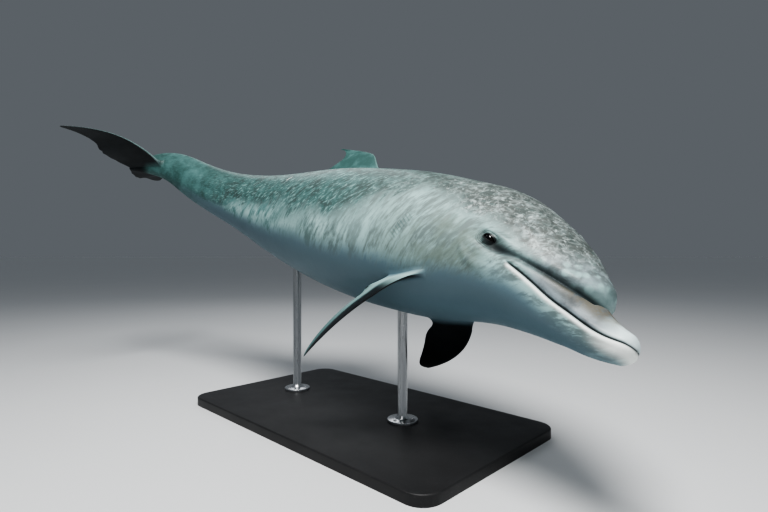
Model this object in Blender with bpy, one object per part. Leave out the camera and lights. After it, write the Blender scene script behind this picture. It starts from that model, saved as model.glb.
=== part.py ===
"""Bottlenose dolphin: a still, life-size museum model that banks on a plain stand. Metres, +Z up, heading along +X."""
import math

import bmesh
import bpy
import numpy as np
from mathutils import Matrix, Vector

# ---------------------------------------------------------------- driving dimensions
LENGTH = 2.50  # tip of the beak to the notch between the flukes, along the body
BODY_END = 0.970 * LENGTH  # where the tail stock ends between the flukes
GAP = 0.0003  # parting between neighbouring pieces
CENTRE_HEIGHT = 0.66  # middle of the body above the floor

# Bank and dive of the middle of the body, in degrees.
BANK = -35.3
DIVE = 9.1
# Bends of the spine, in degrees: the head is turned and dropped, the tail swings and lifts, the flukes dip.
HEAD_TURN = -11.0
HEAD_DROP = -16.8
HEAD_ROLL = 1.5
TAIL_SWING = 28.0
BACK_ARCH = 2.0
TAIL_LIFT = -3.7
TAIL_ROLL = 12.0
FLUKE_DIP = 30.0

# Body stations: distance from the beak's tip, height of the side line, rise to the back, drop to the belly,
# half width and keel (1 is an ellipse, more pinches the ring into a ridge above and below).
STATIONS = [
    # distance, side, rise, drop, half width, keel
    (0.000, -0.042, 0.022, 0.033, 0.028, 1.00),  # beak tip
    (0.050, -0.052, 0.041, 0.037, 0.039, 1.00),
    (0.100, -0.050, 0.055, 0.047, 0.051, 1.00),  # root of the beak
    (0.130, -0.047, 0.063, 0.052, 0.061, 1.00),
    (0.165, -0.044, 0.086, 0.059, 0.075, 1.00),  # melon
    (0.212, -0.035, 0.101, 0.074, 0.093, 1.00),
    (0.275, -0.025, 0.127, 0.094, 0.116, 1.00),  # corner of the mouth
    (0.350, -0.018, 0.163, 0.117, 0.137, 1.00),  # eye
    (0.450, -0.013, 0.207, 0.155, 0.161, 1.00),  # neck
    (0.575, -0.020, 0.223, 0.190, 0.190, 1.00),  # flippers
    (0.750, -0.029, 0.239, 0.208, 0.214, 1.00),
    (0.950, -0.031, 0.244, 0.212, 0.218, 1.00),  # deepest of the chest
    (1.150, -0.025, 0.236, 0.206, 0.206, 1.02),
    (1.450, -0.015, 0.190, 0.171, 0.157, 1.10),  # vent
    (1.750, -0.007, 0.128, 0.120, 0.099, 1.25),
    (2.000, -0.002, 0.094, 0.094, 0.059, 1.35),  # tail stock
    (2.250, 0.004, 0.073, 0.054, 0.031, 1.35),
    (2.330, 0.004, 0.052, 0.034, 0.024, 1.30),
    (2.390, 0.002, 0.027, 0.018, 0.016, 1.15),
    (2.462, 0.000, 0.007, 0.007, 0.008, 1.00),  # notch
]
TIP_ROUND = 0.020  # length over which the beak's tip rounds off
END_ROUND = 0.016  # and the end of the tail stock
MELON_LEAN = 0.75  # how far the front of the melon leans over the beak, per metre of height

CREASE_TOP = 0.0575  # height of the beak under the melon, over the side line
CREASE_FROM = 0.112
CREASE_TO = 0.345  # the crease between melon and lip runs out behind the corner of the mouth
CREASE_DEEP = 0.007
CREASE_WIDE = 0.010

GAPE = 0.289  # corner of the mouth
MELON_CUT = 0.1125  # partings along the body
HEAD_CUT = 0.275
NECK_CUT = 0.400
CHEST_CUT = 0.495
FLANK_CUT = 1.000
LOIN_CUT = 1.530
STOCK_CUT = 2.120

FLIPPER_FROM = 0.505  # root of the flippers along the body
FLIPPER_TO = 0.655
FLIPPER_MIDDLE = (FLIPPER_FROM + FLIPPER_TO) / 2.0
FLIPPER_TURN = -45.0  # place of the root round the body
FLIPPER_HEEL_TURN = -57.0
FLIPPER_CUT = 0.010  # the flipper begins this far off the skin
FLIPPER_SPAN = 0.325
FLIPPER_CHORD = 0.165
FLIPPER_THICK = 0.17
DORSAL_FROM = 1.075
DORSAL_TO = 1.440
DORSAL_HEIGHT = 0.162
DORSAL_THICK = 0.036
FLUKE_FROM = 2.235
FLUKE_TO = 2.412
FLUKE_MIDDLE = (FLUKE_FROM + FLUKE_TO) / 2.0
FLUKE_SPAN = 0.300
FLUKE_CHORD = 0.190
FLUKE_THICK = 0.125

FIN_RINGS = (0.07, 0.20, 0.36, 0.53, 0.69, 0.83, 0.93, 0.985)  # shares of a fin's span

EYE_AT = 0.369
EYE_TURN = 7.0
EYE_RADIUS = 0.019
EYE_SUNK = 0.0155

ROD_RADIUS = 0.016
ROD_FRONT = 0.850  # stations over which the rods stand
ROD_REAR = 1.420
BASE_SIZE = (1.16, 0.66, 0.030)
BASE_MIDDLE = (-0.05, -0.02)

COLUMNS_OVER = [90, 80, 68, 55, 42, 31, 20, 10, 0]
COLUMNS_UNDER = [-10, -20, -30, -38, -45, -52, -64, -77, -90]


# ---------------------------------------------------------------- collections
for old in list(bpy.data.objects):
    bpy.data.objects.remove(old)

parts = bpy.data.collections.new("bottlenose_dolphin")
cutters = bpy.data.collections.new("cutters")
bpy.context.scene.collection.children.link(parts)
bpy.context.scene.collection.children.link(cutters)


# ---------------------------------------------------------------- the spine
def step(start, end, value):
    t = np.clip((value - start) / (end - start), 0.0, 1.0)
    return t * t * (3.0 - 2.0 * t)


def make_spine(count=500):
    """Points and axes (forward, left, up) along the bent spine, from the beak's tip backward."""
    share = np.linspace(0.0, 1.0, count + 1)
    head = 1.0 - step(0.15, 0.36, share)
    swing = step(0.42, 0.90, share)
    yaw = np.radians(HEAD_TURN * head + TAIL_SWING * swing)
    pitch = HEAD_DROP * head + BACK_ARCH * step(0.42, 0.72, share)
    pitch = np.radians(pitch + TAIL_LIFT * step(0.66, 0.90, share) + FLUKE_DIP * step(0.84, 0.935, share))
    roll = np.radians(HEAD_ROLL * head + TAIL_ROLL * step(0.42, 0.92, share))[:, None]
    zero = np.zeros_like(yaw)
    forward = np.stack([np.cos(yaw) * np.cos(pitch), np.sin(yaw) * np.cos(pitch), np.sin(pitch)], axis=1)
    left = np.stack([-np.sin(yaw), np.cos(yaw), zero], axis=1)
    up = np.cross(forward, left)
    left, up = left * np.cos(roll) + up * np.sin(roll), up * np.cos(roll) - left * np.sin(roll)
    points = np.zeros((count + 1, 3))
    points[1:] = -np.cumsum((forward[1:] + forward[:-1]) / 2.0 * LENGTH / count, axis=0)
    points -= points[int(round(0.40 * count))]
    stance = Matrix.Rotation(math.radians(DIVE), 3, "Y") @ Matrix.Rotation(math.radians(BANK), 3, "X")
    stance = np.array(stance)
    points = points @ stance.T + np.array([0.0, 0.0, CENTRE_HEIGHT])
    return share * LENGTH, points, forward @ stance.T, left @ stance.T, up @ stance.T


SPINE = make_spine()


def spine_frame(distance):
    """Point, forward, left and up of the spine at this distance from the beak's tip."""
    along = SPINE[0]
    return [np.array([np.interp(distance, along, row[:, k]) for k in range(3)]) for row in SPINE[1:]]


def place(distance, left, up):
    """World point from a distance along the spine and offsets to the left and up."""
    held = min(max(distance, 0.0), LENGTH)
    point, forward, to_left, to_up = spine_frame(held)
    return Vector(point + left * to_left + up * to_up - (distance - held) * forward)


# ---------------------------------------------------------------- the body's skin
def spline(xs, ys):
    """Natural cubic through the named stations."""
    xs = np.array(xs)
    ys = np.array(ys)
    gaps = np.diff(xs)
    count = len(xs)
    matrix = np.eye(count)
    right = np.zeros(count)
    for i in range(1, count - 1):
        matrix[i, i - 1 : i + 2] = gaps[i - 1], 2.0 * (gaps[i - 1] + gaps[i]), gaps[i]
        right[i] = 6.0 * ((ys[i + 1] - ys[i]) / gaps[i] - (ys[i] - ys[i - 1]) / gaps[i - 1])
    bend = np.linalg.solve(matrix, right)

    def value(x):
        x = min(max(x, xs[0]), xs[-1])
        i = min(max(int(np.searchsorted(xs, x)) - 1, 0), count - 2)
        gap = gaps[i]
        a = xs[i + 1] - x
        b = x - xs[i]
        cubic = (bend[i] * a**3 + bend[i + 1] * b**3) / (6.0 * gap)
        return cubic + (ys[i] / gap - bend[i] * gap / 6.0) * a + (ys[i + 1] / gap - bend[i + 1] * gap / 6.0) * b

    return value


table = list(zip(*STATIONS))
side_of, rise_of, drop_of, half_of, keel_of = [spline(table[0], column) for column in table[1:]]


def end_round(distance):
    """Shrinks the first and last rings to round ends."""
    tip = 1.0 - min(distance / TIP_ROUND, 1.0)
    end = 1.0 - min((BODY_END - distance) / END_ROUND, 1.0)
    return math.sqrt(max(1.0 - tip * tip, 0.0) * max(1.0 - end * end, 0.0))


def lean_of(distance):
    share = distance / LENGTH
    return MELON_LEAN * float(step(0.025, 0.080, share) * (1.0 - step(0.09, 0.20, share)))


def crease_height(distance):
    return CREASE_TOP * (1.0 - (distance - CREASE_FROM) / (CREASE_TO - CREASE_FROM) * 0.88)


def slant(distance, turn):
    """Runs the rows of the skin down along the root of the flippers, which slopes to its rear end."""
    drop = (FLIPPER_TURN - FLIPPER_HEEL_TURN) * step(0.48, 0.66, distance) * (1.0 - step(0.66, 0.88, distance))
    return turn - float(drop) * math.exp(-(((turn - FLIPPER_TURN) / 22.0) ** 2))


def skin(distance, turn, grow=0.0):
    """Spine distance, left and up of the skin at this station; turn runs from 90 (back) by 0 (left side) to -90."""
    angle = math.radians(turn)
    over = turn > 0.0
    tall = (rise_of if over else drop_of)(distance)
    taper = end_round(distance)
    left = (half_of(distance) * taper + grow) * math.copysign(abs(math.cos(angle)) ** keel_of(distance), math.cos(angle))
    up = (tall * taper + grow) * math.sin(angle)
    if abs(turn) == 90.0:
        left = 0.0
    if up > 0.0 and CREASE_FROM < distance < CREASE_TO:
        off = (up - crease_height(distance)) / CREASE_WIDE
        fade = 1.0 - float(step(0.22, CREASE_TO, distance))
        dent = CREASE_DEEP * math.exp(-off * off) * fade * float(step(CREASE_FROM, 0.12, distance))
        reach = math.hypot(left, up)
        left -= dent * left / reach
        up -= dent * up / reach
    return distance - lean_of(distance) * max(up, 0.0), left, side_of(distance) + up


def skin_point(distance, turn, side=1, grow=0.0):
    along, left, up = skin(distance, turn, grow)
    return place(along, side * left, up)


def back_height(distance):
    return side_of(distance) + rise_of(distance)


# ---------------------------------------------------------------- fins
def foil(chord):
    """Half thickness of a swimming section, as a share of its full thickness, along the chord."""
    return 2.5 * (0.2969 * math.sqrt(chord) - 0.126 * chord - 0.3516 * chord**2 + 0.2843 * chord**3 - 0.1016 * chord**4)


def flipper_plan(t):
    """Leading edge and chord of a flipper at a share of its span."""
    lead = FLIPPER_SPAN * (0.35 * t + 0.68 * t * t)
    chord = FLIPPER_CHORD * (1.0 - t) ** 0.55 * (1.0 + 0.55 * t)
    return lead, chord * (1.0 - 0.25 * math.exp(-((t / 0.16) ** 2)))


def fluke_plan(t):
    lead = FLUKE_SPAN * (0.45 * t + 0.36 * t**2.2)
    chord = FLUKE_CHORD * (1.0 - t) ** 0.62 * (1.0 + 0.25 * t)
    return lead, chord + 0.026 * math.sin(math.pi * min(t / 0.50, 1.0))


def dorsal_plan(t):
    """Leading and trailing edge along the body, as shares of its length."""
    lead = 0.433 + 0.0585 * (1.0 - (1.0 - t) ** 1.6) + 0.0695 * t**14
    trail = 0.576 - 0.0135 * t - 0.020 * math.sin(math.pi * t**1.6)
    return lead * LENGTH, max(trail - lead, 0.004) * LENGTH


def fin_frame(distance, side, droop, yaw):
    """Axes of a side fin: chord backward and span outward, drooped and swung round the upright."""
    _, forward, left, up = [Vector(row) for row in spine_frame(distance)]
    chord = -forward
    span = left * side * math.cos(math.radians(droop)) - up * math.sin(math.radians(droop))
    normal = chord.cross(span)
    turn = Matrix.Rotation(math.radians(-yaw * side), 3, normal)
    return turn @ chord, turn @ span


def side_fin(root, heel, axes, side, plan, thick, span, twist, curve, bend):
    """Returns the point of a side fin at (share of span, share of chord, side of the blade). The root lies along the
    skin from root to heel, and the blade turns to its own axes within the inner part of the span."""
    chord_axis, span_axis = axes
    chord_axis = Matrix.Rotation(math.radians(-twist * side), 3, span_axis) @ chord_axis
    root_axis = (heel - root).normalized()

    def point(t, chord_share, blade):
        lead, chord = plan(t)
        back = root_axis.lerp(chord_axis, float(step(0.0, 0.4, t))).normalized()
        normal = back.cross(span_axis).normalized()
        offset = blade * thick * chord * foil(chord_share)
        along = root + span_axis * (span * t) + back * (lead + chord * chord_share)
        return along - normal * side * (offset + curve * t**bend)

    return point


def flipper(side):
    """The left flipper is held out, the right one hangs and its tip bends down."""
    droop, yaw, twist, curve = (20.0, -3.0, 23.0, 0.080) if side > 0 else (57.0, -10.0, 23.0, -0.150)
    root = skin_point(FLIPPER_FROM + 0.010, FLIPPER_TURN, side)
    heel = skin_point(FLIPPER_TO - 0.010, FLIPPER_HEEL_TURN, side)
    axes = fin_frame(FLIPPER_MIDDLE, side, droop, yaw)
    return side_fin(root, heel, axes, side, flipper_plan, FLIPPER_THICK, FLIPPER_SPAN, twist, curve, 2.0), axes


def fluke(side):
    droop, curve = (-28.0, -0.030) if side > 0 else (-38.0, -0.180)
    root = skin_point(FLUKE_FROM + 0.008, 0, side)
    heel = skin_point(FLUKE_TO - 0.008, 0, side)
    axes = fin_frame(FLUKE_MIDDLE, side, droop, 0.0)
    return side_fin(root, heel, axes, side, fluke_plan, FLUKE_THICK, FLUKE_SPAN, 10.0, curve, 3.0)


def dorsal_point(t, chord_share, blade):
    lead, chord = dorsal_plan(t)
    base_lead, base_chord = dorsal_plan(0.0)
    foot = back_height(base_lead + base_chord * chord_share)
    top = back_height(base_lead) + DORSAL_HEIGHT
    along = lead + chord * chord_share
    thin = DORSAL_THICK * (1.0 - 0.75 * t) * foil(chord_share)
    share = 0.85 * (1.0 - (1.0 - min(t / 0.93, 1.0)) ** 1.25)
    return place(along, blade * thin, foot + (top - foot) * share)


# ---------------------------------------------------------------- the whole animal in one piece
def station_list():
    """Ring distances: close on the head, where the flippers and flukes grow, wider on the trunk."""
    tip = [TIP_ROUND * (1.0 - math.cos(a)) for a in np.linspace(0.3, math.pi / 2, 4)]
    head = list(np.linspace(TIP_ROUND, 0.095, 6))[1:]
    head += list(np.linspace(0.095, 0.155, 7))[1:]
    head += list(np.linspace(0.155, FLIPPER_FROM, 13))[1:]
    root = list(np.linspace(FLIPPER_FROM, FLIPPER_TO, 6))[1:]
    chest = list(np.linspace(FLIPPER_TO, DORSAL_FROM, 7))[1:]
    fin = list(np.linspace(DORSAL_FROM, DORSAL_TO, 8))[1:]
    tail = list(np.linspace(DORSAL_TO, FLUKE_FROM, 10))[1:]
    fluke = list(np.linspace(FLUKE_FROM, FLUKE_TO, 7))[1:]
    end = [BODY_END - END_ROUND * (1.0 - math.sin(a)) for a in np.linspace(0.15, math.pi / 2 - 0.3, 3)]
    return tip + head + root + chest + fin + tail + fluke + end


def column_list():
    """(turn, side) round a ring, from the back down the left side and up the right."""
    left = [(turn, 1) for turn in COLUMNS_OVER + COLUMNS_UNDER]
    right = [(turn, -1) for turn in (COLUMNS_OVER + COLUMNS_UNDER)[1:-1]]
    return left + right[::-1]


def face_outward(bm):
    bmesh.ops.recalc_face_normals(bm, faces=bm.faces)
    if bm.calc_volume(signed=True) < 0.0:
        bmesh.ops.reverse_faces(bm, faces=bm.faces)


def extrude_ring(bm, ring):
    """Extrudes a closed loop of edges and returns the new vertices in the same order."""
    edges = [bm.edges.get((a, b)) for a, b in zip(ring, ring[1:] + ring[:1])]
    made = bmesh.ops.extrude_edge_only(bm, edges=edges)["geom"]
    new = {item for item in made if isinstance(item, bmesh.types.BMVert)}
    return [next(e.other_vert(v) for e in v.link_edges if e.other_vert(v) in new) for v in ring]


def grow_fin(bm, rings, columns, rows, point, spans):
    """Opens a block of the skin's faces and extrudes it, ring by ring, into a fin."""
    across = len(columns) - 1
    count = rows[1] - rows[0]
    inner = {rings[i][j] for i in range(rows[0], rows[1] + 1) for j in columns}
    doomed = [face for face in bm.faces if all(v in inner for v in face.verts)]
    loop = [(rows[0], j, 0.0, k) for k, j in enumerate(columns)]
    loop += [(i, columns[-1], (i - rows[0]) / count, across) for i in range(rows[0] + 1, rows[1])]
    loop += [(rows[1], columns[k], 1.0, k) for k in range(across, -1, -1)]
    loop += [(i, columns[0], (i - rows[0]) / count, 0) for i in range(rows[1] - 1, rows[0], -1)]
    ring = [rings[i][j] for i, j, _, _ in loop]
    bmesh.ops.delete(bm, geom=doomed, context="FACES")
    for t in spans:
        ring = extrude_ring(bm, ring)
        for vertex, (_, _, share, k) in zip(ring, loop):
            blade = 2.0 * k / across - 1.0
            nose = 0.030 * blade * blade
            if share == 0.0:
                chord_share = nose
            elif share == 1.0:
                chord_share = 1.0 - 0.6 * nose
            else:
                chord_share = 0.030 + 0.952 * share**1.15
            vertex.co = point(t, chord_share, math.copysign(1.0, blade) if blade else 0.0)
    edges = [bm.edges.get((a, b)) for a, b in zip(ring, ring[1:] + ring[:1])]
    bmesh.ops.edgeloop_fill(bm, edges=edges)


def make_whole(grow=0.0, fins=True):
    bm = bmesh.new()
    stations = station_list()
    columns = column_list()
    made = bmesh.ops.create_circle(bm, segments=len(columns), radius=1.0)
    ring = list(made["verts"])
    rings = []
    for i, distance in enumerate(stations):
        if i:
            ring = extrude_ring(bm, ring)
        for vertex, (turn, side) in zip(ring, columns):
            vertex.co = skin_point(distance, slant(distance, turn), side, grow)
        rings.append(ring)
    for ring in (rings[0], rings[-1]):
        edges = [bm.edges.get((a, b)) for a, b in zip(ring, ring[1:] + ring[:1])]
        bmesh.ops.edgeloop_fill(bm, edges=edges)
    if fins:
        add_fins(bm, rings, stations, columns)
    face_outward(bm)
    return bm


def add_fins(bm, rings, stations, columns):
    def row(distance):
        return int(np.argmin([abs(s - distance) for s in stations]))

    def column(turn, side):
        return columns.index((turn, side))

    for side in (1, -1):
        point, _ = flipper(side)
        block = [column(turn, side) for turn in (-52, -45, -38)]
        grow_fin(bm, rings, block, (row(FLIPPER_FROM), row(FLIPPER_TO)), point, FIN_RINGS)
    for side in (1, -1):
        block = [column(turn, side) for turn in (-20, -10)] + [columns.index((0, side))]
        block += [column(turn, side) for turn in (10, 20)]
        grow_fin(bm, rings, block, (row(FLUKE_FROM), row(FLUKE_TO)), fluke(side), FIN_RINGS)
    block = [column(80, -1), column(90, 1), column(80, 1)]
    grow_fin(bm, rings, block, (row(DORSAL_FROM), row(DORSAL_TO)), dorsal_point, FIN_RINGS)


# ---------------------------------------------------------------- objects and materials
def material(name, colour, roughness, metallic=0.0):
    made = bpy.data.materials.new(name)
    made.use_nodes = True
    shader = made.node_tree.nodes["Principled BSDF"]
    shader.inputs["Base Color"].default_value = (*colour, 1.0)
    shader.inputs["Roughness"].default_value = roughness
    shader.inputs["Metallic"].default_value = metallic
    made.diffuse_color = (*colour, 1.0)
    return made


def add_object(name, bm, collection, look=None, sharp=40.0):
    mesh = bpy.data.meshes.new(name)
    bm.to_mesh(mesh)
    bm.free()
    made = bpy.data.objects.new(name, mesh)
    collection.objects.link(made)
    if look:
        mesh.materials.append(look)
        mesh.shade_smooth()
        mesh.set_sharp_from_angle(angle=math.radians(sharp))
    else:
        made.hide_render = True
        made.display_type = "WIRE"
    return made


def boolean(target, kind, other):
    made = target.modifiers.new(f"{kind.lower()}_{other.name}", "BOOLEAN")
    made.operation = kind
    made.solver = "EXACT"
    made.object = other
    return made


# ---------------------------------------------------------------- helpers that part the whole
def block(name, start, end, low, high, wide, lean=(0.0, 0.0)):
    """A box bent along the spine. It keeps what lies between two stations, and under or over a height."""
    curved = callable(low) or callable(high)
    count = max(2, math.ceil((end - start) / (0.02 if curved else 0.10)))
    bm = bmesh.new()
    made = bmesh.ops.create_circle(bm, segments=4, radius=1.0)
    ring = list(made["verts"])
    rings = []
    for i in range(count + 1):
        share = i / count
        distance = start + (end - start) * share
        tilt = lean[0] + (lean[1] - lean[0]) * share
        if i:
            ring = extrude_ring(bm, ring)
        for vertex, (left, up) in zip(ring, ((-wide, low), (wide, low), (wide, high), (-wide, high))):
            height = up(distance) if callable(up) else up
            shift = tilt * max(height - side_of(distance), 0.0)
            vertex.co = place(distance - shift, left, height)
        rings.append(ring)
    return close_tube(bm, name, rings)


def close_tube(bm, name, rings):
    for ring in (rings[0], rings[-1]):
        edges = [bm.edges.get((a, b)) for a, b in zip(ring, ring[1:] + ring[:1])]
        bmesh.ops.edgeloop_fill(bm, edges=edges)
    face_outward(bm)
    return add_object(name, bm, cutters)


def box(name, origin, axes, low, high):
    """A straight box from its low to its high corner, measured along three axes from an origin."""
    bm = bmesh.new()
    bmesh.ops.create_cube(bm, size=1.0)
    for vertex in bm.verts:
        spot = [a + (b - a) * (k + 0.5) for a, b, k in zip(low, high, vertex.co)]
        vertex.co = origin + axes[0] * spot[0] + axes[1] * spot[1] + axes[2] * spot[2]
    face_outward(bm)
    return add_object(name, bm, cutters)


def skin_axes(distance, turn, side):
    """Backward along the skin, outward, and across both."""
    back = skin_point(distance + 0.02, turn, side) - skin_point(distance - 0.02, turn, side)
    across = skin_point(distance, turn + 4.0, side) - skin_point(distance, turn - 4.0, side)
    outward = back.cross(across).normalized() * side
    back.normalize()
    return back, outward, back.cross(outward)


def funnel(name, lift, side):
    """Widens from the root of a flipper to beyond its tip."""
    back, outward, across = skin_axes(FLIPPER_MIDDLE, FLIPPER_TURN, side)
    point, (chord, span) = flipper(side)
    normal = chord.cross(span)
    root = skin_point(FLIPPER_MIDDLE, FLIPPER_TURN, side) + outward * lift
    tip = point(1.0, 0.5, 0.0) + span * 0.05
    corners = [root + back * a + across * b for a in (-0.125, 0.135) for b in (-0.055, 0.055)]
    corners += [tip + chord * a + normal * b for a in (-0.20, 0.20) for b in (-0.12, 0.12)]
    bm = bmesh.new()
    verts = [bm.verts.new(corner) for corner in corners]
    bmesh.ops.convex_hull(bm, input=verts)
    face_outward(bm)
    return add_object(name, bm, cutters)


def fin_boxes(name, origin, axes, low, high):
    """The box that keeps a fin, and the slightly larger one that frees the body from it."""
    keep = box(f"keep_{name}", origin, axes, low, high)
    wider = [value - 0.01 for value in low]
    wider[1] = low[1] - GAP
    free = box(f"free_{name}", origin, axes, wider, [value + 0.01 for value in high])
    return keep, free


# ---------------------------------------------------------------- the animal's pieces
BACK = (0.070, 0.068, 0.066)
FLANK = (0.165, 0.175, 0.170)
BELLY = (0.420, 0.430, 0.420)
FIN = (0.055, 0.056, 0.058)
WET = 0.32

whole = add_object("whole", make_whole(), cutters)


def piece(name, colour, keep, free=()):
    """A copy of the whole, cut down to one region and freed from the fins or eyes that sit in it."""
    made = bpy.data.objects.new(name, whole.data.copy())
    made.data.materials.append(material(name, colour, WET))
    made.data.shade_smooth()
    made.data.set_sharp_from_angle(angle=math.radians(50.0))
    parts.objects.link(made)
    boolean(made, "INTERSECT", keep)
    for other in free:
        boolean(made, "DIFFERENCE", other)
    return made


def over_mouth(distance):
    return side_of(distance) + GAP


def under_mouth(distance):
    return side_of(distance) - GAP


def eye_ball(name, radius, side):
    """An eyeball sunk in the head, its pole outward."""
    _, outward, _ = skin_axes(EYE_AT, EYE_TURN, side)
    centre = skin_point(EYE_AT, EYE_TURN, side) - outward * EYE_SUNK
    bm = bmesh.new()
    turn = Vector((0.0, 0.0, 1.0)).rotation_difference(outward).to_matrix().to_4x4()
    spot = Matrix.Translation(centre) @ turn @ Matrix.Rotation(0.21, 4, "Z")
    bmesh.ops.create_uvsphere(bm, u_segments=18, v_segments=9, radius=radius, matrix=spot)
    if name.startswith("socket"):
        return add_object(name, bm, cutters)
    return add_object(name, bm, parts, material(name, (0.012, 0.009, 0.008), 0.08))


HALF = GAP / 2.0
sockets = []
for side, word in ((1, "left"), (-1, "right")):
    sockets.append(eye_ball(f"socket_{word}", EYE_RADIUS + GAP, side))
    eye_ball(f"eye_{word}", EYE_RADIUS, side)

boxes = {}
for side, word in ((1, "left"), (-1, "right")):
    keep = funnel(f"keep_flipper_{word}", FLIPPER_CUT, side)
    boxes[f"flipper_{word}"] = keep, funnel(f"free_flipper_{word}", FLIPPER_CUT - GAP, side)
    point, forward, left, up = [Vector(row) for row in spine_frame(FLUKE_MIDDLE)]
    axes = (-forward, left * side, up)
    boxes[f"fluke_{word}"] = fin_boxes(f"fluke_{word}", point, axes, (-0.095, 0.040, -0.3), (0.6, 0.5, 0.3))
back, outward, across = skin_axes(1.245, 89.9, 1)
origin = skin_point(1.245, 90, 1)
boxes["dorsal_fin"] = fin_boxes("dorsal_fin", origin, (back, outward, across), (-0.3, 0.004, -0.08), (0.3, 0.3, 0.08))

piece("beak_upper", FLANK, block("keep_beak", -0.03, MELON_CUT - HALF, over_mouth, 0.12, 0.15, (0.0, 0.3)))
piece("lower_jaw", BELLY, block("keep_jaw", -0.03, NECK_CUT - HALF, -0.30, under_mouth, 0.30))
piece("melon", BACK, block("keep_melon", MELON_CUT + HALF, HEAD_CUT - HALF, over_mouth, 0.30, 0.30, (0.3, 0.3)))
keep = block("keep_head", HEAD_CUT + HALF, NECK_CUT - HALF, over_mouth, 0.30, 0.30, (0.3, 0.0))
piece("head", BACK, keep, sockets)
piece("neck", FLANK, block("keep_neck", NECK_CUT + HALF, CHEST_CUT - HALF, -0.34, 0.34, 0.34))
keep = block("keep_chest", CHEST_CUT + HALF, FLANK_CUT - HALF, -0.45, 0.36, 0.45)
piece("chest", FLANK, keep, (boxes["flipper_left"][1], boxes["flipper_right"][1]))
keep = block("keep_loin", FLANK_CUT + HALF, LOIN_CUT - HALF, -0.34, 0.60, 0.34)
piece("loin", FLANK, keep, (boxes["dorsal_fin"][1],))
piece("tail", FLANK, block("keep_tail", LOIN_CUT + HALF, STOCK_CUT - HALF, -0.24, 0.24, 0.24))
keep = block("keep_stock", STOCK_CUT + HALF, 2.55, -0.14, 0.14, 0.20)
piece("tail_stock", BACK, keep, (boxes["fluke_left"][1], boxes["fluke_right"][1]))
for name, (keep, _) in boxes.items():
    piece(name, FIN, keep)

# ---------------------------------------------------------------- the stand
flesh_room = add_object("flesh_room", make_whole(grow=GAP, fins=False), cutters)


def stand_base():
    """A flat plate with rounded corners."""
    bm = bmesh.new()
    bmesh.ops.create_cube(bm, size=1.0)
    for vertex in bm.verts:
        vertex.co = [size * k for size, k in zip(BASE_SIZE, vertex.co)]
        vertex.co += Vector((BASE_MIDDLE[0], BASE_MIDDLE[1], BASE_SIZE[2] / 2.0))
    upright = [e for e in bm.edges if abs(e.verts[0].co.z - e.verts[1].co.z) > 0.01]
    bmesh.ops.bevel(
        bm, geom=upright, offset=0.06, offset_type="OFFSET", segments=6, profile=0.5, affect="EDGES", material=-1
    )
    top = [e for e in bm.edges if min(v.co.z for v in e.verts) > BASE_SIZE[2] - 0.001 and len(e.link_faces) == 2]
    bmesh.ops.bevel(
        bm, geom=top, offset=0.004, offset_type="OFFSET", segments=2, profile=0.5, affect="EDGES", material=-1
    )
    add_object("stand_base", bm, parts, material("stand_base", (0.030, 0.030, 0.032), 0.45))


def stand_rod(name, distance):
    """A straight steel rod with a foot flange; its top follows the belly."""
    point = Vector(spine_frame(distance)[0])
    floor = BASE_SIZE[2] + GAP
    radius = ROD_RADIUS
    profile = [(0.0, floor), (0.050, floor), (0.050, floor + 0.008), (0.047, floor + 0.011)]
    profile += [(radius + 0.008, floor + 0.013), (radius, floor + 0.021), (radius, point.z), (0.0, point.z)]
    bm = bmesh.new()
    verts = [bm.verts.new((x, 0.0, z)) for x, z in profile]
    edges = [bm.edges.new(pair) for pair in zip(verts, verts[1:])]
    bmesh.ops.spin(
        bm, geom=verts + edges, cent=(0.0, 0.0, 0.0), axis=(0.0, 0.0, 1.0), angle=2.0 * math.pi, steps=20
    )
    bmesh.ops.remove_doubles(bm, verts=bm.verts, dist=0.00001)
    for vertex in bm.verts:
        vertex.co += Vector((point.x, point.y, 0.0))
    face_outward(bm)
    made = add_object(name, bm, parts, material(name, (0.55, 0.56, 0.57), 0.30, 1.0))
    boolean(made, "DIFFERENCE", flesh_room)


stand_base()
stand_rod("stand_rod_front", ROD_FRONT)
stand_rod("stand_rod_rear", ROD_REAR)
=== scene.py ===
"""Looks of a life-size bottlenose dolphin model on its display stand. Metres, +Z up, heading along +X."""

import math

import bmesh
import bpy
import numpy as np
from mathutils import Matrix, Vector


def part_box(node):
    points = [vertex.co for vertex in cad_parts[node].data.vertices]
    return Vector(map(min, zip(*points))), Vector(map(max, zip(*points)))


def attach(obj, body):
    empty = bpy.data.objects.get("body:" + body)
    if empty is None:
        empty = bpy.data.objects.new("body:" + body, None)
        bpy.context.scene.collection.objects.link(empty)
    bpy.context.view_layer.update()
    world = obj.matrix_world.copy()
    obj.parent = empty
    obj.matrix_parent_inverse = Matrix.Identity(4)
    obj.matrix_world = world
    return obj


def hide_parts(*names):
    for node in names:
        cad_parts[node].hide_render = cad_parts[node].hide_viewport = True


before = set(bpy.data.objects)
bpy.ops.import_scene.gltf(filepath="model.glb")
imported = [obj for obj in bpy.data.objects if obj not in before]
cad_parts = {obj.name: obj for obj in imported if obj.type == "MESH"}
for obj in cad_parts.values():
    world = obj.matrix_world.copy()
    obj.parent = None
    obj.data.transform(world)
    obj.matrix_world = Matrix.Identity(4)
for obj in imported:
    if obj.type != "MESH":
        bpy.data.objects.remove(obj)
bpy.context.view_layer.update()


# ------------------------------------------------------------------ stand base
# A heavy wooden board with rounded corners and softened edges, sprayed satin black. It lies loose on the
# floor, and the two rods are screwed down into it from the top.

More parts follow.
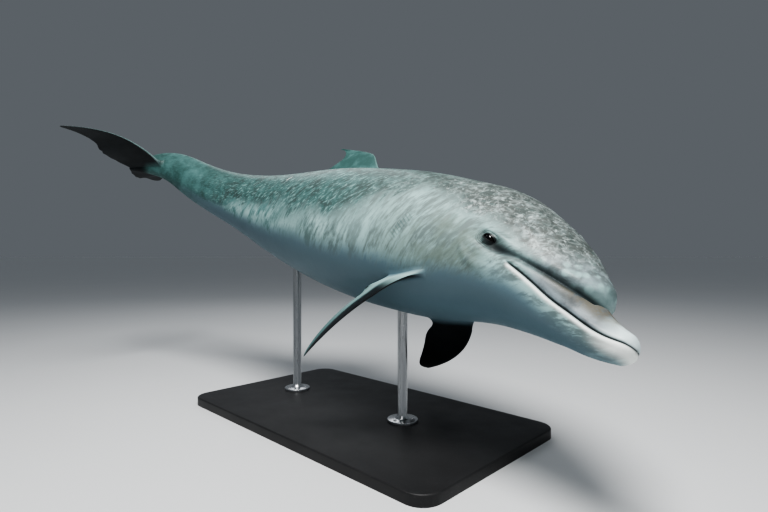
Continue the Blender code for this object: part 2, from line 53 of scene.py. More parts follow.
class Value:
    """A socket in a material. Arithmetic on it adds Math nodes, and node() adds any other node."""

    def __init__(self, tree, socket=None):
        self.tree = tree
        self.socket = socket

    def node(self, kind, settings=None, inputs=None, out=0):
        made = self.tree.nodes.new(kind)
        for name, setting in (settings or {}).items():
            setattr(made, name, setting)
        for name, given in (inputs or {}).items():
            if isinstance(given, Value):
                self.tree.links.new(given.socket, made.inputs[name])
            else:
                made.inputs[name].default_value = given
        return Value(self.tree, made.outputs[out])

    def math(self, operation, *terms):
        return self.node("ShaderNodeMath", {"operation": operation}, dict(enumerate(terms)))

    def __add__(self, other):
        return self.math("ADD", self, other)

    def __mul__(self, other):
        return self.math("MULTIPLY", self, other)

    def __sub__(self, other):
        return self.math("SUBTRACT", self, other)

    def __rsub__(self, other):
        return self.math("SUBTRACT", other, self)

    def __pow__(self, other):
        return self.math("POWER", self, other)

    def __abs__(self):
        return self.math("ABSOLUTE", self)

    def below(self, other):
        return self.math("MINIMUM", self, other)

    def fade(self, start, end):
        """0 before start and 1 past end, with a soft step between them."""
        ends = {"From Min": start, "From Max": end, "Value": self}
        return self.node("ShaderNodeMapRange", {"interpolation_type": "SMOOTHSTEP"}, ends)

    def tint(self, first, second):
        """Mixes two colours, this value being the share of the second."""
        ends = {0: self, 6: first, 7: second}
        return self.node("ShaderNodeMix", {"data_type": "RGBA"}, ends, out=2)

    def noise(self, scale, detail=2.0, rough=0.5, warp=0.0):
        """Noise at the place that this vector gives."""
        fine = {"Vector": self, "Scale": scale, "Detail": detail, "Roughness": rough, "Distortion": warp}
        return self.node("ShaderNodeTexNoise", {}, fine)

    def stretch(self, scale):
        return self.node("ShaderNodeMapping", {"vector_type": "POINT"}, {"Vector": self, "Scale": scale})

    def vector(self, x, y, z):
        return self.node("ShaderNodeCombineXYZ", {}, {0: x, 1: y, 2: z})

    def part(self, index):
        """One of the three numbers in this vector."""
        return self.node("ShaderNodeSeparateXYZ", {}, {0: self}, out=index)

    def stored(self, name):
        """A vector that the mesh stores under this name."""
        return self.node("ShaderNodeAttribute", {"attribute_name": name}, out=1)


def finish_paint(name, colour, rough, bump=None, bump_height=0.001, metallic=0.0, coat=0.0):
    """A Principled material. The functions make its colour, roughness and bump from a place."""
    made = bpy.data.materials.new(name)
    made.use_nodes = True
    tree = made.node_tree
    shader = tree.nodes["Principled BSDF"]
    where = Value(tree).node("ShaderNodeTexCoord", out=3)
    tree.links.new(colour(where).socket, shader.inputs["Base Color"])
    tree.links.new(rough(where).socket, shader.inputs["Roughness"])
    even = {"Metallic": metallic, "Coat Weight": coat, "Coat Roughness": 0.12, "Specular IOR Level": 0.35}
    for socket, setting in even.items():
        shader.inputs[socket].default_value = setting
    if bump:
        sockets = {"Height": bump(where), "Distance": bump_height, "Strength": 1.0}
        tree.links.new(where.node("ShaderNodeBump", {}, sockets).socket, shader.inputs["Normal"])
    return made


def add_object(name, data):
    made = bpy.data.objects.new(name, data)
    bpy.context.scene.collection.objects.link(made)
    return made


def mesh_of(name, bm, look):
    mesh = bpy.data.meshes.new(name)
    bm.to_mesh(mesh)
    bm.free()
    mesh.materials.append(look)
    return mesh


def add_piece(name, bm, look, slot, *nodes):
    """Makes a smooth shaded object of a bmesh, which rides on the fixed frame in place of its nodes."""
    made = add_object(name, mesh_of(name, bm, look))
    made.data.shade_smooth()
    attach(made, "root")
    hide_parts(*nodes)
    return made


def round_edges(bm, edges, radius, segments):
    bmesh.ops.bevel(bm, geom=edges, offset=radius, offset_type="OFFSET", segments=segments, profile=0.5,
                    affect="EDGES", material=-1)


BOARD_CORNER = 0.06  # radius of the corners, seen from above
BOARD_EDGE = 0.005  # rounding of the upper edge
BOARD_SHARP = 35.0  # degrees between faces that stay a hard edge
BOARD_BLACK = (0.016, 0.016, 0.017, 1.0)
BOARD_WORN = (0.030, 0.030, 0.031, 1.0)
BOARD_DUST = (0.10, 0.10, 0.10, 1.0)
BOARD_GRAIN = 0.0002  # height of the paint's orange peel


def board_colour(where):
    speck = where.noise(420.0, 1.0).fade(0.68, 0.74)
    return (speck * 0.5).tint(where.noise(7.0, 3.0).tint(BOARD_BLACK, BOARD_WORN), BOARD_DUST)


def board_rough(where):
    return where.noise(11.0, 4.0) * 0.22 + 0.34


def board_bump(where):
    return where.noise(900.0, 2.0) * 0.5 + where.noise(60.0, 2.0) * 0.5


low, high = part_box("stand_base")
bm = bmesh.new()
bmesh.ops.create_cube(bm, size=1.0)
bmesh.ops.scale(bm, vec=high - low, verts=bm.verts)
bmesh.ops.translate(bm, vec=(high + low) / 2.0, verts=bm.verts)
round_edges(bm, [e for e in bm.edges if abs(e.verts[0].co.z - e.verts[1].co.z) > 0.01], BOARD_CORNER, 16)
rim = [e for e in bm.edges if min(v.co.z for v in e.verts) > high.z - 0.001 and e.calc_face_angle(0.0) > 1.0]
round_edges(bm, rim, BOARD_EDGE, 4)
board_look = finish_paint("satin_black_paint", board_colour, board_rough, board_bump, BOARD_GRAIN)
board = add_piece("stand_base_board", bm, board_look, "base_board", "stand_base")
board.data.set_sharp_from_angle(angle=math.radians(BOARD_SHARP))


# ------------------------------------------------------------------ stand rods
# Two round bars of brushed stainless steel, each welded to a small turned foot flange. Three screws hold the
# flange to the board, and the top runs a little way into the body, where it is glued into a hidden socket.

ROD_RADIUS = 0.016
ROD_BURIED = 0.012  # how far the top runs past the solid's own end, inside the body
FLANGE_RADIUS = 0.050
SCREW_CIRCLE = 0.036
SCREW_HEAD = 0.0058
STEEL_SHARP = 40.0  # degrees between faces that stay a hard edge
STEEL_DARK = (0.46, 0.47, 0.48, 1.0)
STEEL_BRIGHT = (0.60, 0.61, 0.62, 1.0)
STEEL_SCRATCH = 0.00008
# Radius and height at each corner: the flange from its middle up to the bar, and a screw's head.
FLANGE = [(0.0, 0.0), (FLANGE_RADIUS, 0.0), (FLANGE_RADIUS, 0.0065), (FLANGE_RADIUS - 0.0004, 0.0075),
          (FLANGE_RADIUS - 0.0015, 0.0082), (0.0262, 0.0095), (0.0245, 0.0102), (0.0218, 0.0135),
          (0.0185, 0.0175), (0.0168, 0.0198), (ROD_RADIUS, 0.0215)]
SCREW = [(0.0, 0.0085), (0.0022, 0.0085), (0.0026, 0.0108), (SCREW_HEAD - 0.0012, 0.0110),
         (SCREW_HEAD, 0.0099), (SCREW_HEAD, 0.0078), (0.0, 0.0078)]


def steel_colour(where):
    return where.stretch((1.0, 1.0, 0.02)).noise(260.0, 2.0).tint(STEEL_DARK, STEEL_BRIGHT)


def steel_rough(where):
    return where.stretch((1.0, 1.0, 0.03)).noise(420.0, 2.0) * 0.20 + 0.20


def steel_bump(where):
    return where.stretch((1.0, 1.0, 0.03)).noise(700.0, 1.0)


def turn_profile(bm, profile, foot, steps):
    """Spins a profile of (radius, height) pairs round the upright through the foot."""
    verts = [bm.verts.new((foot.x + radius, foot.y, foot.z + height)) for radius, height in profile]
    edges = [bm.edges.new(pair) for pair in zip(verts, verts[1:])]
    bmesh.ops.spin(bm, geom=verts + edges, cent=foot, axis=(0.0, 0.0, 1.0), angle=2.0 * math.pi,
                   steps=steps, use_merge=True)


steel_look = finish_paint("brushed_steel", steel_colour, steel_rough, steel_bump, STEEL_SCRATCH, 1.0)
for node in ("stand_rod_front", "stand_rod_rear"):
    low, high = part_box(node)
    foot = Vector(((low.x + high.x) / 2.0, (low.y + high.y) / 2.0, low.z))
    top = high.z + ROD_BURIED - low.z
    bm = bmesh.new()
    turn_profile(bm, FLANGE + [(ROD_RADIUS, top), (0.0, top)], foot, 48)
    for k in range(3):
        angle = math.radians(30.0 + 120.0 * k)
        spot = foot + Vector((math.cos(angle), math.sin(angle), 0.0)) * SCREW_CIRCLE
        turn_profile(bm, SCREW, spot, 20)
    bmesh.ops.remove_doubles(bm, verts=bm.verts, dist=0.00001)
    bmesh.ops.recalc_face_normals(bm, faces=bm.faces)
    rod = add_piece(node.replace("stand_rod", "stand_steel_rod"), bm, steel_look, "rod_steel", node)
    rod.data.set_sharp_from_angle(angle=math.radians(STEEL_SHARP))


# ------------------------------------------------------------------ skin
# One hollow casting of tough resin, from the beak to the flukes, with no seam. Its folds, lids, lips and
# nicks come from the mould. The colours are sprayed on and sealed with a satin lacquer.

LENGTH = 2.50  # beak tip to fluke notch, along the bent spine
BODY_END = 0.970 * LENGTH
CENTRE_HEIGHT = 0.66
HELD_AT = 0.40  # share of the length that stands over the origin
BANK, DIVE = -35.3, 9.1  # degrees, of the whole body
# Degrees of each bend, and the shares of the length between which it comes in.
HEAD_TURN = (-11.0, 0.36, 0.15)
HEAD_DROP = (-16.8, 0.36, 0.15)
HEAD_ROLL = (1.5, 0.36, 0.15)
TAIL_SWING = (28.0, 0.42, 0.90)
BACK_ARCH = (2.0, 0.42, 0.72)
TAIL_LIFT = (-3.7, 0.66, 0.90)
TAIL_ROLL = (12.0, 0.42, 0.92)
FLUKE_DIP = (30.0, 0.84, 0.935)

STATIONS = [
    # distance, side line, rise, drop, half width, keel
    (0.000, -0.042, 0.022, 0.033, 0.028, 1.00),  # beak tip
    (0.050, -0.052, 0.041, 0.037, 0.039, 1.00),
    (0.100, -0.050, 0.055, 0.047, 0.051, 1.00),  # root of the beak
    (0.130, -0.047, 0.063, 0.052, 0.061, 1.00),
    (0.165, -0.044, 0.086, 0.059, 0.075, 1.00),  # melon
    (0.212, -0.035, 0.101, 0.074, 0.093, 1.00),
    (0.275, -0.025, 0.127, 0.094, 0.116, 1.00),  # corner of the mouth
    (0.350, -0.018, 0.163, 0.117, 0.137, 1.00),  # eye
    (0.450, -0.013, 0.207, 0.155, 0.161, 1.00),  # neck
    (0.575, -0.020, 0.223, 0.190, 0.190, 1.00),  # flippers
    (0.750, -0.029, 0.239, 0.208, 0.214, 1.00),
    (0.950, -0.031, 0.244, 0.212, 0.218, 1.00),  # deepest of the chest
    (1.150, -0.025, 0.236, 0.206, 0.206, 1.02),
    (1.450, -0.015, 0.190, 0.171, 0.157, 1.10),  # vent
    (1.750, -0.007, 0.128, 0.120, 0.099, 1.25),
    (2.000, -0.002, 0.094, 0.094, 0.059, 1.35),  # tail stock
    (2.250, 0.004, 0.073, 0.054, 0.031, 1.35),
    (2.330, 0.004, 0.052, 0.034, 0.024, 1.30),
    (2.390, 0.002, 0.027, 0.018, 0.016, 1.15),
    (2.462, 0.000, 0.007, 0.007, 0.008, 1.00),  # notch
]
TIP_ROUND = 0.020  # length of the beak's round tip, and of the body's round end
END_ROUND = 0.016
MELON_LEAN = 0.75  # how far the melon leans forward for each metre up
CREASE_TOP = 0.0575  # height of the melon's crease over the mouth line at its front end
CREASE_FALL = 0.88  # share of that height that it has lost at its rear end
CREASE_FROM = 0.112
CREASE_TO = 0.345
CREASE_DEEP = 0.007
CREASE_WIDE = 0.010
GAPE = 0.289  # distance of the mouth's corner
CHIN = 0.004  # how far the lower jaw stands forward of the beak's round tip


def soft_step(start, end, value):
    t = np.clip((value - start) / (end - start), 0.0, 1.0)
    return t * t * (3.0 - 2.0 * t)


def hump(offset, width):
    return np.exp(-((offset / width) ** 2))


def unit(rows):
    return rows / np.maximum(np.linalg.norm(rows, axis=-1, keepdims=True), 1e-9)


def make_spine(count=500):
    """Points and axes (forward, left, up) along the bent spine, from the beak's tip backward."""
    share = np.linspace(0.0, 1.0, count + 1)
    yaw, pitch, roll = [
        np.radians(sum(degrees * soft_step(first, last, share) for degrees, first, last in bends))
        for bends in ((HEAD_TURN, TAIL_SWING), (HEAD_DROP, BACK_ARCH, TAIL_LIFT, FLUKE_DIP),
                      (HEAD_ROLL, TAIL_ROLL))
    ]
    roll = roll[:, None]
    forward = np.stack([np.cos(yaw) * np.cos(pitch), np.sin(yaw) * np.cos(pitch), np.sin(pitch)], axis=1)
    left = np.stack([-np.sin(yaw), np.cos(yaw), np.zeros_like(yaw)], axis=1)
    up = np.cross(forward, left)
    left, up = left * np.cos(roll) + up * np.sin(roll), up * np.cos(roll) - left * np.sin(roll)
    points = np.zeros((count + 1, 3))
    points[1:] = -np.cumsum((forward[1:] + forward[:-1]) / 2.0 * LENGTH / count, axis=0)
    points -= points[int(round(HELD_AT * count))]
    stance = Matrix.Rotation(math.radians(DIVE), 3, "Y") @ Matrix.Rotation(math.radians(BANK), 3, "X")
    points, forward, left, up = [rows @ np.array(stance).T for rows in (points, forward, left, up)]
    return share * LENGTH, points + np.array([0.0, 0.0, CENTRE_HEIGHT]), forward, left, up


SPINE = make_spine()


def spine_frame(distance):
    """Point, forward, left and up of the spine at these distances from the beak's tip."""
    return [np.stack([np.interp(distance, SPINE[0], rows[:, k]) for k in range(3)], axis=-1)
            for rows in SPINE[1:]]


def place(distance, left, up):
    """World points of spine distances with offsets to the left and up."""
    distance, left, up = np.broadcast_arrays(distance, left, up)
    held = np.clip(distance, 0.0, LENGTH)
    point, forward, to_left, to_up = spine_frame(held)
    return point + left[..., None] * to_left + up[..., None] * to_up - (distance - held)[..., None] * forward


def spline(xs, ys):
    """Natural cubic through the stations."""
    xs, ys = np.array(xs), np.array(ys)
    gaps = np.diff(xs)
    count = len(xs)
    matrix = np.eye(count)
    right = np.zeros(count)
    for i in range(1, count - 1):
        matrix[i, i - 1 : i + 2] = gaps[i - 1], 2.0 * (gaps[i - 1] + gaps[i]), gaps[i]
        right[i] = 6.0 * ((ys[i + 1] - ys[i]) / gaps[i] - (ys[i] - ys[i - 1]) / gaps[i - 1])
    bend = np.linalg.solve(matrix, right)

    def value(x):
        x = np.clip(x, xs[0], xs[-1])
        i = np.clip(np.searchsorted(xs, x) - 1, 0, count - 2)
        gap, a, b = gaps[i], xs[i + 1] - x, x - xs[i]
        cubic = (bend[i] * a**3 + bend[i + 1] * b**3) / (6.0 * gap) + (ys[i] / gap - bend[i] * gap / 6.0) * a
        return cubic + (ys[i + 1] / gap - bend[i + 1] * gap / 6.0) * b

    return value


marks, *shapes = zip(*STATIONS)
side_of, rise_of, drop_of, half_of, keel_of = [spline(marks, shape) for shape in shapes]


def end_round(distance):
    """Shrinks the first and last rings to round ends."""
    tip = 1.0 - np.minimum(distance / TIP_ROUND, 1.0)
    end = 1.0 - np.minimum((BODY_END - distance) / END_ROUND, 1.0)
    return np.sqrt(np.maximum(1.0 - tip * tip, 0.0) * np.maximum(1.0 - end * end, 0.0))


def lean_of(distance):
    share = distance / LENGTH
    return MELON_LEAN * soft_step(0.025, 0.080, share) * soft_step(0.20, 0.09, share)


def crease_height(distance):
    return CREASE_TOP * (1.0 - (distance - CREASE_FROM) / (CREASE_TO - CREASE_FROM) * CREASE_FALL)


def slant(distance, turn):
    """Runs the rows of the skin down along the root of the flippers, which slopes to its rear end."""
    reach = soft_step(0.48, 0.66, distance) * soft_step(0.88, 0.66, distance)
    return turn - (FLIPPER_TURN - FLIPPER_HEEL_TURN) * reach * hump(turn - FLIPPER_TURN, 22.0)


def height_over_side(distance, turn):
    """Height of the skin over the side line; turn runs from 90 (back) by 0 (side line) to -90 (belly)."""
    tall = np.where(turn > 0.0, rise_of(distance), drop_of(distance))
    return tall * end_round(distance) * np.sin(np.radians(turn))


def skin(distance, turn, side):
    """Spine distance, left and up of the plain skin."""
    angle = np.radians(turn)
    round_side = np.sign(np.cos(angle)) * np.abs(np.cos(angle)) ** keel_of(distance)
    left = half_of(distance) * end_round(distance) * round_side
    up = height_over_side(distance, turn)
    fade = soft_step(CREASE_TO, 0.22, distance) * soft_step(CREASE_FROM, 0.12, distance)
    dent = CREASE_DEEP * hump(up - crease_height(distance), CREASE_WIDE) * fade * (up > 0.0)
    reach = np.maximum(np.hypot(left, up), 1e-6)
    left, up = left - dent * left / reach, up - dent * up / reach
    chin = CHIN * hump(up + 0.016, 0.018) * soft_step(0.06, 0.0, distance)
    return distance - lean_of(distance) * np.maximum(up, 0.0) - chin, side * left, side_of(distance) + up


def outward(distance, turn, side):
    """Normal of the plain skin."""
    along = place(*skin(distance + 0.002, turn, side)) - place(*skin(distance - 0.002, turn, side))
    across = place(*skin(distance, turn + 0.5, side)) - place(*skin(distance, turn - 0.5, side))
    return unit(np.cross(along, across)) * np.asarray(side)[..., None]


# The eye's opening and the folds round it, measured forward and up from the eye's centre.
EYE_AT = 0.369
EYE_TURN = 7.0
EYE_UP = height_over_side(EYE_AT, EYE_TURN)
EYE_RADIUS = 0.019
EYE_SUNK = 0.0155  # how deep the ball's middle lies
EYE_TILT = math.radians(-5.0)  # the front corner lies a little lower
OPENING = (0.0178, 0.0054)  # half length and half height
LID_THICK = 0.0018  # over the ball
LID_REACH = 0.012  # where the lids end, measured from the opening
LID_BLEND = 0.0014  # how softly they run into the skin round them
LID_FOLDS = ((0.0122, 0.0012), (0.0152, 0.0012), (0.0188, 0.0010), (0.0230, 0.0007))  # distances off, depths
FOLD_WIDE = 0.0010
# Painted shade in the folds round the eye: the deeper the fold, the darker the paint.
FOLD_SHADE = 560.0  # darkness of the paint for each metre of a fold's depth
LID_RINGS = 24
LID_INSIDE = ((0.0003, 0.975), (0.0009, 0.955), (0.0018, 0.95), (0.0032, 0.96), (0.0050, 0.94),
              (0.0065, 0.80), (0.0075, 0.50))  # depths behind the rim, and how wide the lids are there
SKIN_CURVE = (0.60, 0.24)  # the skin's own bend along and across the eye: twice its radii
EYE_FORMS = (
    # height, middle forward and up, reach forward and up
    (0.0062, 0.016, 0.0170, 0.034, 0.0085),  # brow
    (0.0020, -0.014, 0.0140, 0.022, 0.0080),  # rear end of the brow
    (-0.0062, 0.036, -0.0075, 0.026, 0.0120),  # hollow in front
    (-0.0020, -0.002, -0.0210, 0.034, 0.0085),  # hollow under the lid
)


def eye_offsets(distance, turn):
    """Forward and up of the eye's centre, along the tilted opening."""
    ahead = EYE_AT - distance
    above = height_over_side(distance, turn) - EYE_UP
    cos, sin = math.cos(EYE_TILT), math.sin(EYE_TILT)
    return ahead * cos + above * sin, above * cos - ahead * sin


def off_lid(a, b):
    """Distance from the middle stretch of the opening."""
    return np.hypot(np.maximum(np.abs(a) - 0.0100, 0.0), b)


def fold_reach(a, b):
    """The folds run under the eye and round behind it."""
    return soft_step(0.024, 0.004, a + 0.3 * b) * soft_step(0.010, 0.000, b + 0.25 * a)


def eye_relief(a, b):
    """Height of the lids, their folds and the brow over the plain skin."""
    ball = np.sqrt(np.maximum(EYE_RADIUS**2 - a * a - b * b, 0.0)) - EYE_SUNK
    ball += b * b / SKIN_CURVE[1] + a * a / SKIN_CURVE[0]
    over = soft_step(-0.002, 0.003, b)
    floor = sum(high * hump(np.hypot((a - ahead) / wide, (b - above) / tall), 1.0)
                for high, ahead, above, wide, tall in EYE_FORMS)
    floor -= 0.0030 * hump(off_lid(a, b), LID_REACH)
    lid = ball + LID_THICK + 0.0016 * over + 0.0010 * soft_step(-0.004, -0.009, b)
    height = 0.5 * (lid + floor + np.sqrt((lid - floor) ** 2 + LID_BLEND**2))
    height -= 0.0012 * hump(off_lid(a, b) - LID_REACH, 0.0012) * over
    for away, deep in LID_FOLDS:
        height -= deep * hump(off_lid(a, b) - away, FOLD_WIDE) * fold_reach(a, b)
    return height


# Mouth, crease, blowhole and belly folds.
BLOWHOLE_AT = 0.352
BLOWHOLE_HALF = 0.021  # half of the crescent's width
GENITAL_SLIT = (1.475, 1.585)
VENT_SLIT = (1.632, 1.662)
NAVEL_AT = 1.16
NECK_FOLDS_AT = 0.475
NECK_FOLD_GAP = 0.036


def side_offset(distance, turn):
    """Distance from the middle of the back or belly."""
    return half_of(distance) * np.cos(np.radians(turn))


def blowhole_forms(distance, turn):
    """1 along the blowhole's crescent, whose horns point forward, along its front lip, and on its plug."""
    lateral = side_offset(distance, turn)
    ahead = BLOWHOLE_AT - distance
    on_top = (turn > 60.0) * soft_step(0.06, 0.04, np.hypot(ahead, lateral))
    arc = ahead - 0.55 * lateral**2 / BLOWHOLE_HALF
    horns = on_top * soft_step(BLOWHOLE_HALF + 0.003, BLOWHOLE_HALF - 0.003, lateral)
    plug = on_top * hump(np.hypot(ahead - 0.008, lateral * 0.6), 0.0100)
    return horns * hump(arc, 0.0034), horns * hump(arc + 0.0075, 0.0040), plug


def mouth_closed(distance):
    return soft_step(GAPE + 0.004, GAPE - 0.012, distance)


def crease_offset(distance, turn):
    return height_over_side(distance, turn) - crease_height(distance)


def crease_fade(distance):
    return soft_step(0.103, 0.113, distance) * soft_step(CREASE_TO, 0.24, distance)


def relief(distance, turn):
    """Height of the cast detail over the plain skin."""
    up = height_over_side(distance, turn)
    closed = mouth_closed(distance) * (0.25 + 0.75 * soft_step(0.0, 0.020, distance))
    height = closed * (0.0020 * hump(up + 0.0085, 0.0065) + 0.0010 * hump(up - 0.0075, 0.0055))
    height -= closed * 0.0042 * hump(up + 0.0006, 0.0021)
    rise = crease_offset(distance, turn)
    height -= 0.0052 * hump(rise, 0.0052) * crease_fade(distance) * (turn > 0.0)
    roll = soft_step(0.105, 0.125, distance) * soft_step(0.27, 0.19, distance)
    height += roll * (0.0035 * hump(rise - 0.020, 0.012) - 0.0012 * hump(rise + 0.012, 0.008)) * (turn > 0.0)
    a, b = eye_offsets(distance, turn)
    near = soft_step(0.085, 0.055, np.hypot(a, b))
    height += near * eye_relief(a, b)
    blowhole, lip, plug = blowhole_forms(distance, turn)
    height += 0.0018 * lip + 0.0024 * plug - 0.0085 * blowhole
    # Slits and navel on the belly's midline.
    under = np.where(turn < -60.0, side_offset(distance, turn), 1.0)
    slits = sum(soft_step(first, first + run, distance) * soft_step(last, last - run, distance)
                for (first, last), run in ((GENITAL_SLIT, 0.015), (VENT_SLIT, 0.006)))
    height -= slits * (0.0032 * hump(under, 0.0028) - 0.0014 * hump(under - 0.008, 0.006))
    height -= 0.0026 * hump(np.hypot(under, distance - NAVEL_AT), 0.010)
    # A shallow furrow along the flank, over the belly's wall, and creases where the neck is turned.
    furrow = soft_step(1.15, 1.45, distance) * soft_step(2.15, 1.85, distance)
    height -= 0.0030 * hump(turn + 14.0, 9.0) * furrow
    waves = np.sin((distance - 0.40) * 2.0 * math.pi / NECK_FOLD_GAP + turn * 0.02)
    height += 0.0007 * waves * hump(distance - NECK_FOLDS_AT, 0.055) * hump(turn + 5.0, 34.0)
    return height * end_round(distance)


def surface(distance, turn, side):
    """World points of the finished skin."""
    distance, turn = np.broadcast_arrays(distance, turn)
    rise = relief(distance, turn)[..., None]
    return place(*skin(distance, turn, side)) + outward(distance, turn, side) * rise


# Fins.
FLIPPER_FROM = 0.505
FLIPPER_TO = 0.655
FLIPPER_TURN = -45.0
FLIPPER_HEEL_TURN = -57.0
FLIPPER_SPAN = 0.325
FLIPPER_CHORD = 0.165
FLIPPER_THICK = 0.17
DORSAL_FROM = 1.075
DORSAL_TO = 1.440
DORSAL_HEIGHT = 0.162
DORSAL_THICK = 0.036
FLUKE_FROM = 2.235
FLUKE_TO = 2.412
FLUKE_SPAN = 0.300
FLUKE_CHORD = 0.190
FLUKE_THICK = 0.125
FILLET = 0.11  # share of a fin's span over which it rises out of the skin
# Worn notches in the rear edges: shares of the span and depths.
NICK_WIDE = 0.014
FLUKE_NICKS = ((0.15, 0.004), (0.21, 0.008), (0.26, 0.004), (0.33, 0.009), (0.44, 0.003), (0.62, 0.004))
DORSAL_NICKS = ((0.34, 0.0012), (0.58, 0.0018), (0.63, 0.0009))


def foil(chord):
    """Half thickness of a swimming section, as a share of its full thickness, along the chord."""
    bulge = 0.2969 * np.sqrt(chord) - 0.126 * chord - 0.3516 * chord**2
    return 2.5 * np.maximum(bulge + 0.2843 * chord**3 - 0.1016 * chord**4, 0.0)


def worn(t, nicks):
    """How far the notches cut into a rear edge here."""
    return sum(deep * math.exp(-(((t - at) / NICK_WIDE) ** 2)) for at, deep in nicks)


def flipper_plan(t):
    lead = FLIPPER_SPAN * (0.35 * t + 0.68 * t * t)
    chord = FLIPPER_CHORD * (1.0 - t) ** 0.55 * (1.0 + 0.55 * t)
    chord *= 1.0 - 0.25 * math.exp(-((t / 0.16) ** 2))
    return lead, chord


def fluke_plan(t):
    lead = FLUKE_SPAN * (0.45 * t + 0.36 * t**2.2)
    chord = FLUKE_CHORD * (1.0 - t) ** 0.62 * (1.0 + 0.25 * t)
    chord += 0.026 * math.sin(math.pi * min(t / 0.50, 1.0))
    return lead, chord - worn(t, FLUKE_NICKS)


def dorsal_plan(t):
    """Leading and trailing edge along the body, as shares of its length."""
    lead = 0.433 + 0.0585 * (1.0 - (1.0 - t) ** 1.6) + 0.0695 * t**14
    trail = 0.576 - 0.0135 * t - 0.020 * math.sin(math.pi * t**1.6)
    trail -= worn(t, DORSAL_NICKS)
    return lead * LENGTH, max(trail - lead, 0.004) * LENGTH


def side_fin(side, first, last, turned, plan, thick, span, droop, yaw, twist, curve, bend):
    """Returns the points of a side fin at (share of span, shares of chord, sides of the blade). The root
    lies along the skin. Farther out the blade has its own axes, which droop, swing by yaw and twist."""
    _, forward, left, up = [Vector(row) for row in spine_frame((first + last) / 2.0)]
    span_axis = left * side * math.cos(math.radians(droop)) - up * math.sin(math.radians(droop))
    swing = Matrix.Rotation(math.radians(-yaw * side), 3, (-forward).cross(span_axis))
    span_axis = swing @ span_axis
    chord_axis = np.array(Matrix.Rotation(math.radians(-twist * side), 3, span_axis) @ swing @ -forward)
    span_axis = np.array(span_axis)
    root, heel = surface(first, turned[0], side), surface(last, turned[1], side)
    root_axis = unit(heel - root)

    def points(t, chord_share, blade):
        lead, chord = plan(t)
        blend = soft_step(0.0, 0.4, t)
        back = unit(root_axis * (1.0 - blend) + chord_axis * blend)
        normal = unit(np.cross(back, span_axis))
        offset = blade * thick * chord * foil(chord_share) + curve * t**bend
        along = root + span_axis * (span * t) + back * (lead + chord * chord_share)[:, None]
        return along - normal * side * offset[:, None]

    return points


def flipper(side):
    """The left flipper is held out, the right one hangs and its tip bends down."""
    droop, yaw, curve = (20.0, -3.0, 0.080) if side > 0 else (57.0, -10.0, -0.150)
    return side_fin(side, FLIPPER_FROM + 0.010, FLIPPER_TO - 0.010, (FLIPPER_TURN, FLIPPER_HEEL_TURN),
                    flipper_plan, FLIPPER_THICK, FLIPPER_SPAN, droop, yaw, 23.0, curve, 2.0)


def fluke(side):
    droop, curve = (-28.0, -0.030) if side > 0 else (-38.0, -0.180)
    return side_fin(side, FLUKE_FROM + 0.008, FLUKE_TO - 0.008, (0.0, 0.0),
                    fluke_plan, FLUKE_THICK, FLUKE_SPAN, droop, 0.0, 10.0, curve, 3.0)


def dorsal(t, chord_share, blade):
    lead, chord = dorsal_plan(t)
    base_lead, base_chord = dorsal_plan(0.0)
    under = base_lead + base_chord * chord_share
    foot = side_of(under) + rise_of(under)
    top = side_of(base_lead) + rise_of(base_lead) + DORSAL_HEIGHT
    thin = DORSAL_THICK * (1.0 - 0.75 * t) * foil(chord_share)
    share = 0.85 * (1.0 - (1.0 - min(t / 0.93, 1.0)) ** 1.25)
    return place(lead + chord * chord_share, blade * thin, foot + (top - foot) * share)


# Rings along the body and columns round it: close on the head and by the fins, wider on the trunk. Each
# stretch of rings has its start, its end and the gap between rings.
STRETCHES = (
    (TIP_ROUND, 0.43, 0.003), (0.43, FLIPPER_FROM, 0.0055), (FLIPPER_FROM, FLIPPER_TO, 0.0062),
    (FLIPPER_TO, DORSAL_FROM, 0.017), (DORSAL_FROM, DORSAL_TO, 0.011), (DORSAL_TO, 2.18, 0.017),
    (2.18, FLUKE_FROM, 0.008), (FLUKE_FROM, FLUKE_TO, 0.006),
)
stations = [TIP_ROUND * (1.0 - math.cos(a)) for a in np.linspace(0.10, math.pi / 2.0, 9)]
for start, end, gap in STRETCHES:
    stations += list(np.linspace(start, end, max(1, round((end - start) / gap)) + 1))[1:]
stations += [BODY_END - END_ROUND * (1.0 - math.sin(a)) for a in np.linspace(0.3, math.pi / 2.0 - 0.12, 6)]
stations = np.array(stations)


def turn_steps(first, growth, plateau, until, widest, last):
    """Turns from 0 to 90: fine at the mouth line, even to the eye's far side, wide, and finer again."""
    turns = [0.0]
    while turns[-1] < 90.0:
        t = turns[-1]
        wide = plateau if t < until else min(plateau + growth * (t - until), widest)
        turns.append(t + min(first + growth * t, wide, last + 0.16 * max(90.0 - t, 0.0)))
    return np.array(turns) * 90.0 / turns[-1]


over = turn_steps(0.5, 0.10, 1.1, 66.0, 2.0, 1.2)
under = -turn_steps(0.5, 0.18, 3.2, 20.0, 3.2, 1.8)
half_round = list(over[::-1]) + list(under[1:])
turns = np.array(half_round + half_round[-2:0:-1])
sides = np.array([1.0] * len(half_round) + [-1.0] * (len(half_round) - 2))


def ring_edges(ring):
    return [bm.edges.get(pair) for pair in zip(ring, ring[1:] + ring[:1])]


def follow_ring(ring):
    """Extrudes a closed loop of edges and returns the new vertices in the same order."""
    made = bmesh.ops.extrude_edge_only(bm, edges=ring_edges(ring))["geom"]
    new = {item for item in made if isinstance(item, bmesh.types.BMVert)}
    return [next(e.other_vert(v) for e in v.link_edges if e.other_vert(v) in new) for v in ring]


bm = bmesh.new()
stored = bm.verts.layers.float_vector
lie = stored.new("lie")  # distance, turn / 90, side
straight = stored.new("straight")  # the body as if unbent: distance, left, up
fin_place = stored.new("fin_place")  # share of span, share of chord, side of the blade
# The next layer holds painted shade in grooves and creases, the lip's pale band with its painted highlight,
# and the painted shade round the eye.
shade_lip_and_eye = stored.new("shade_lip_and_eye")  # dark in creases, pale on the lip, dark round the eye
head_place = stored.new("head_place")  # height over the mouth line, 1 under the crease


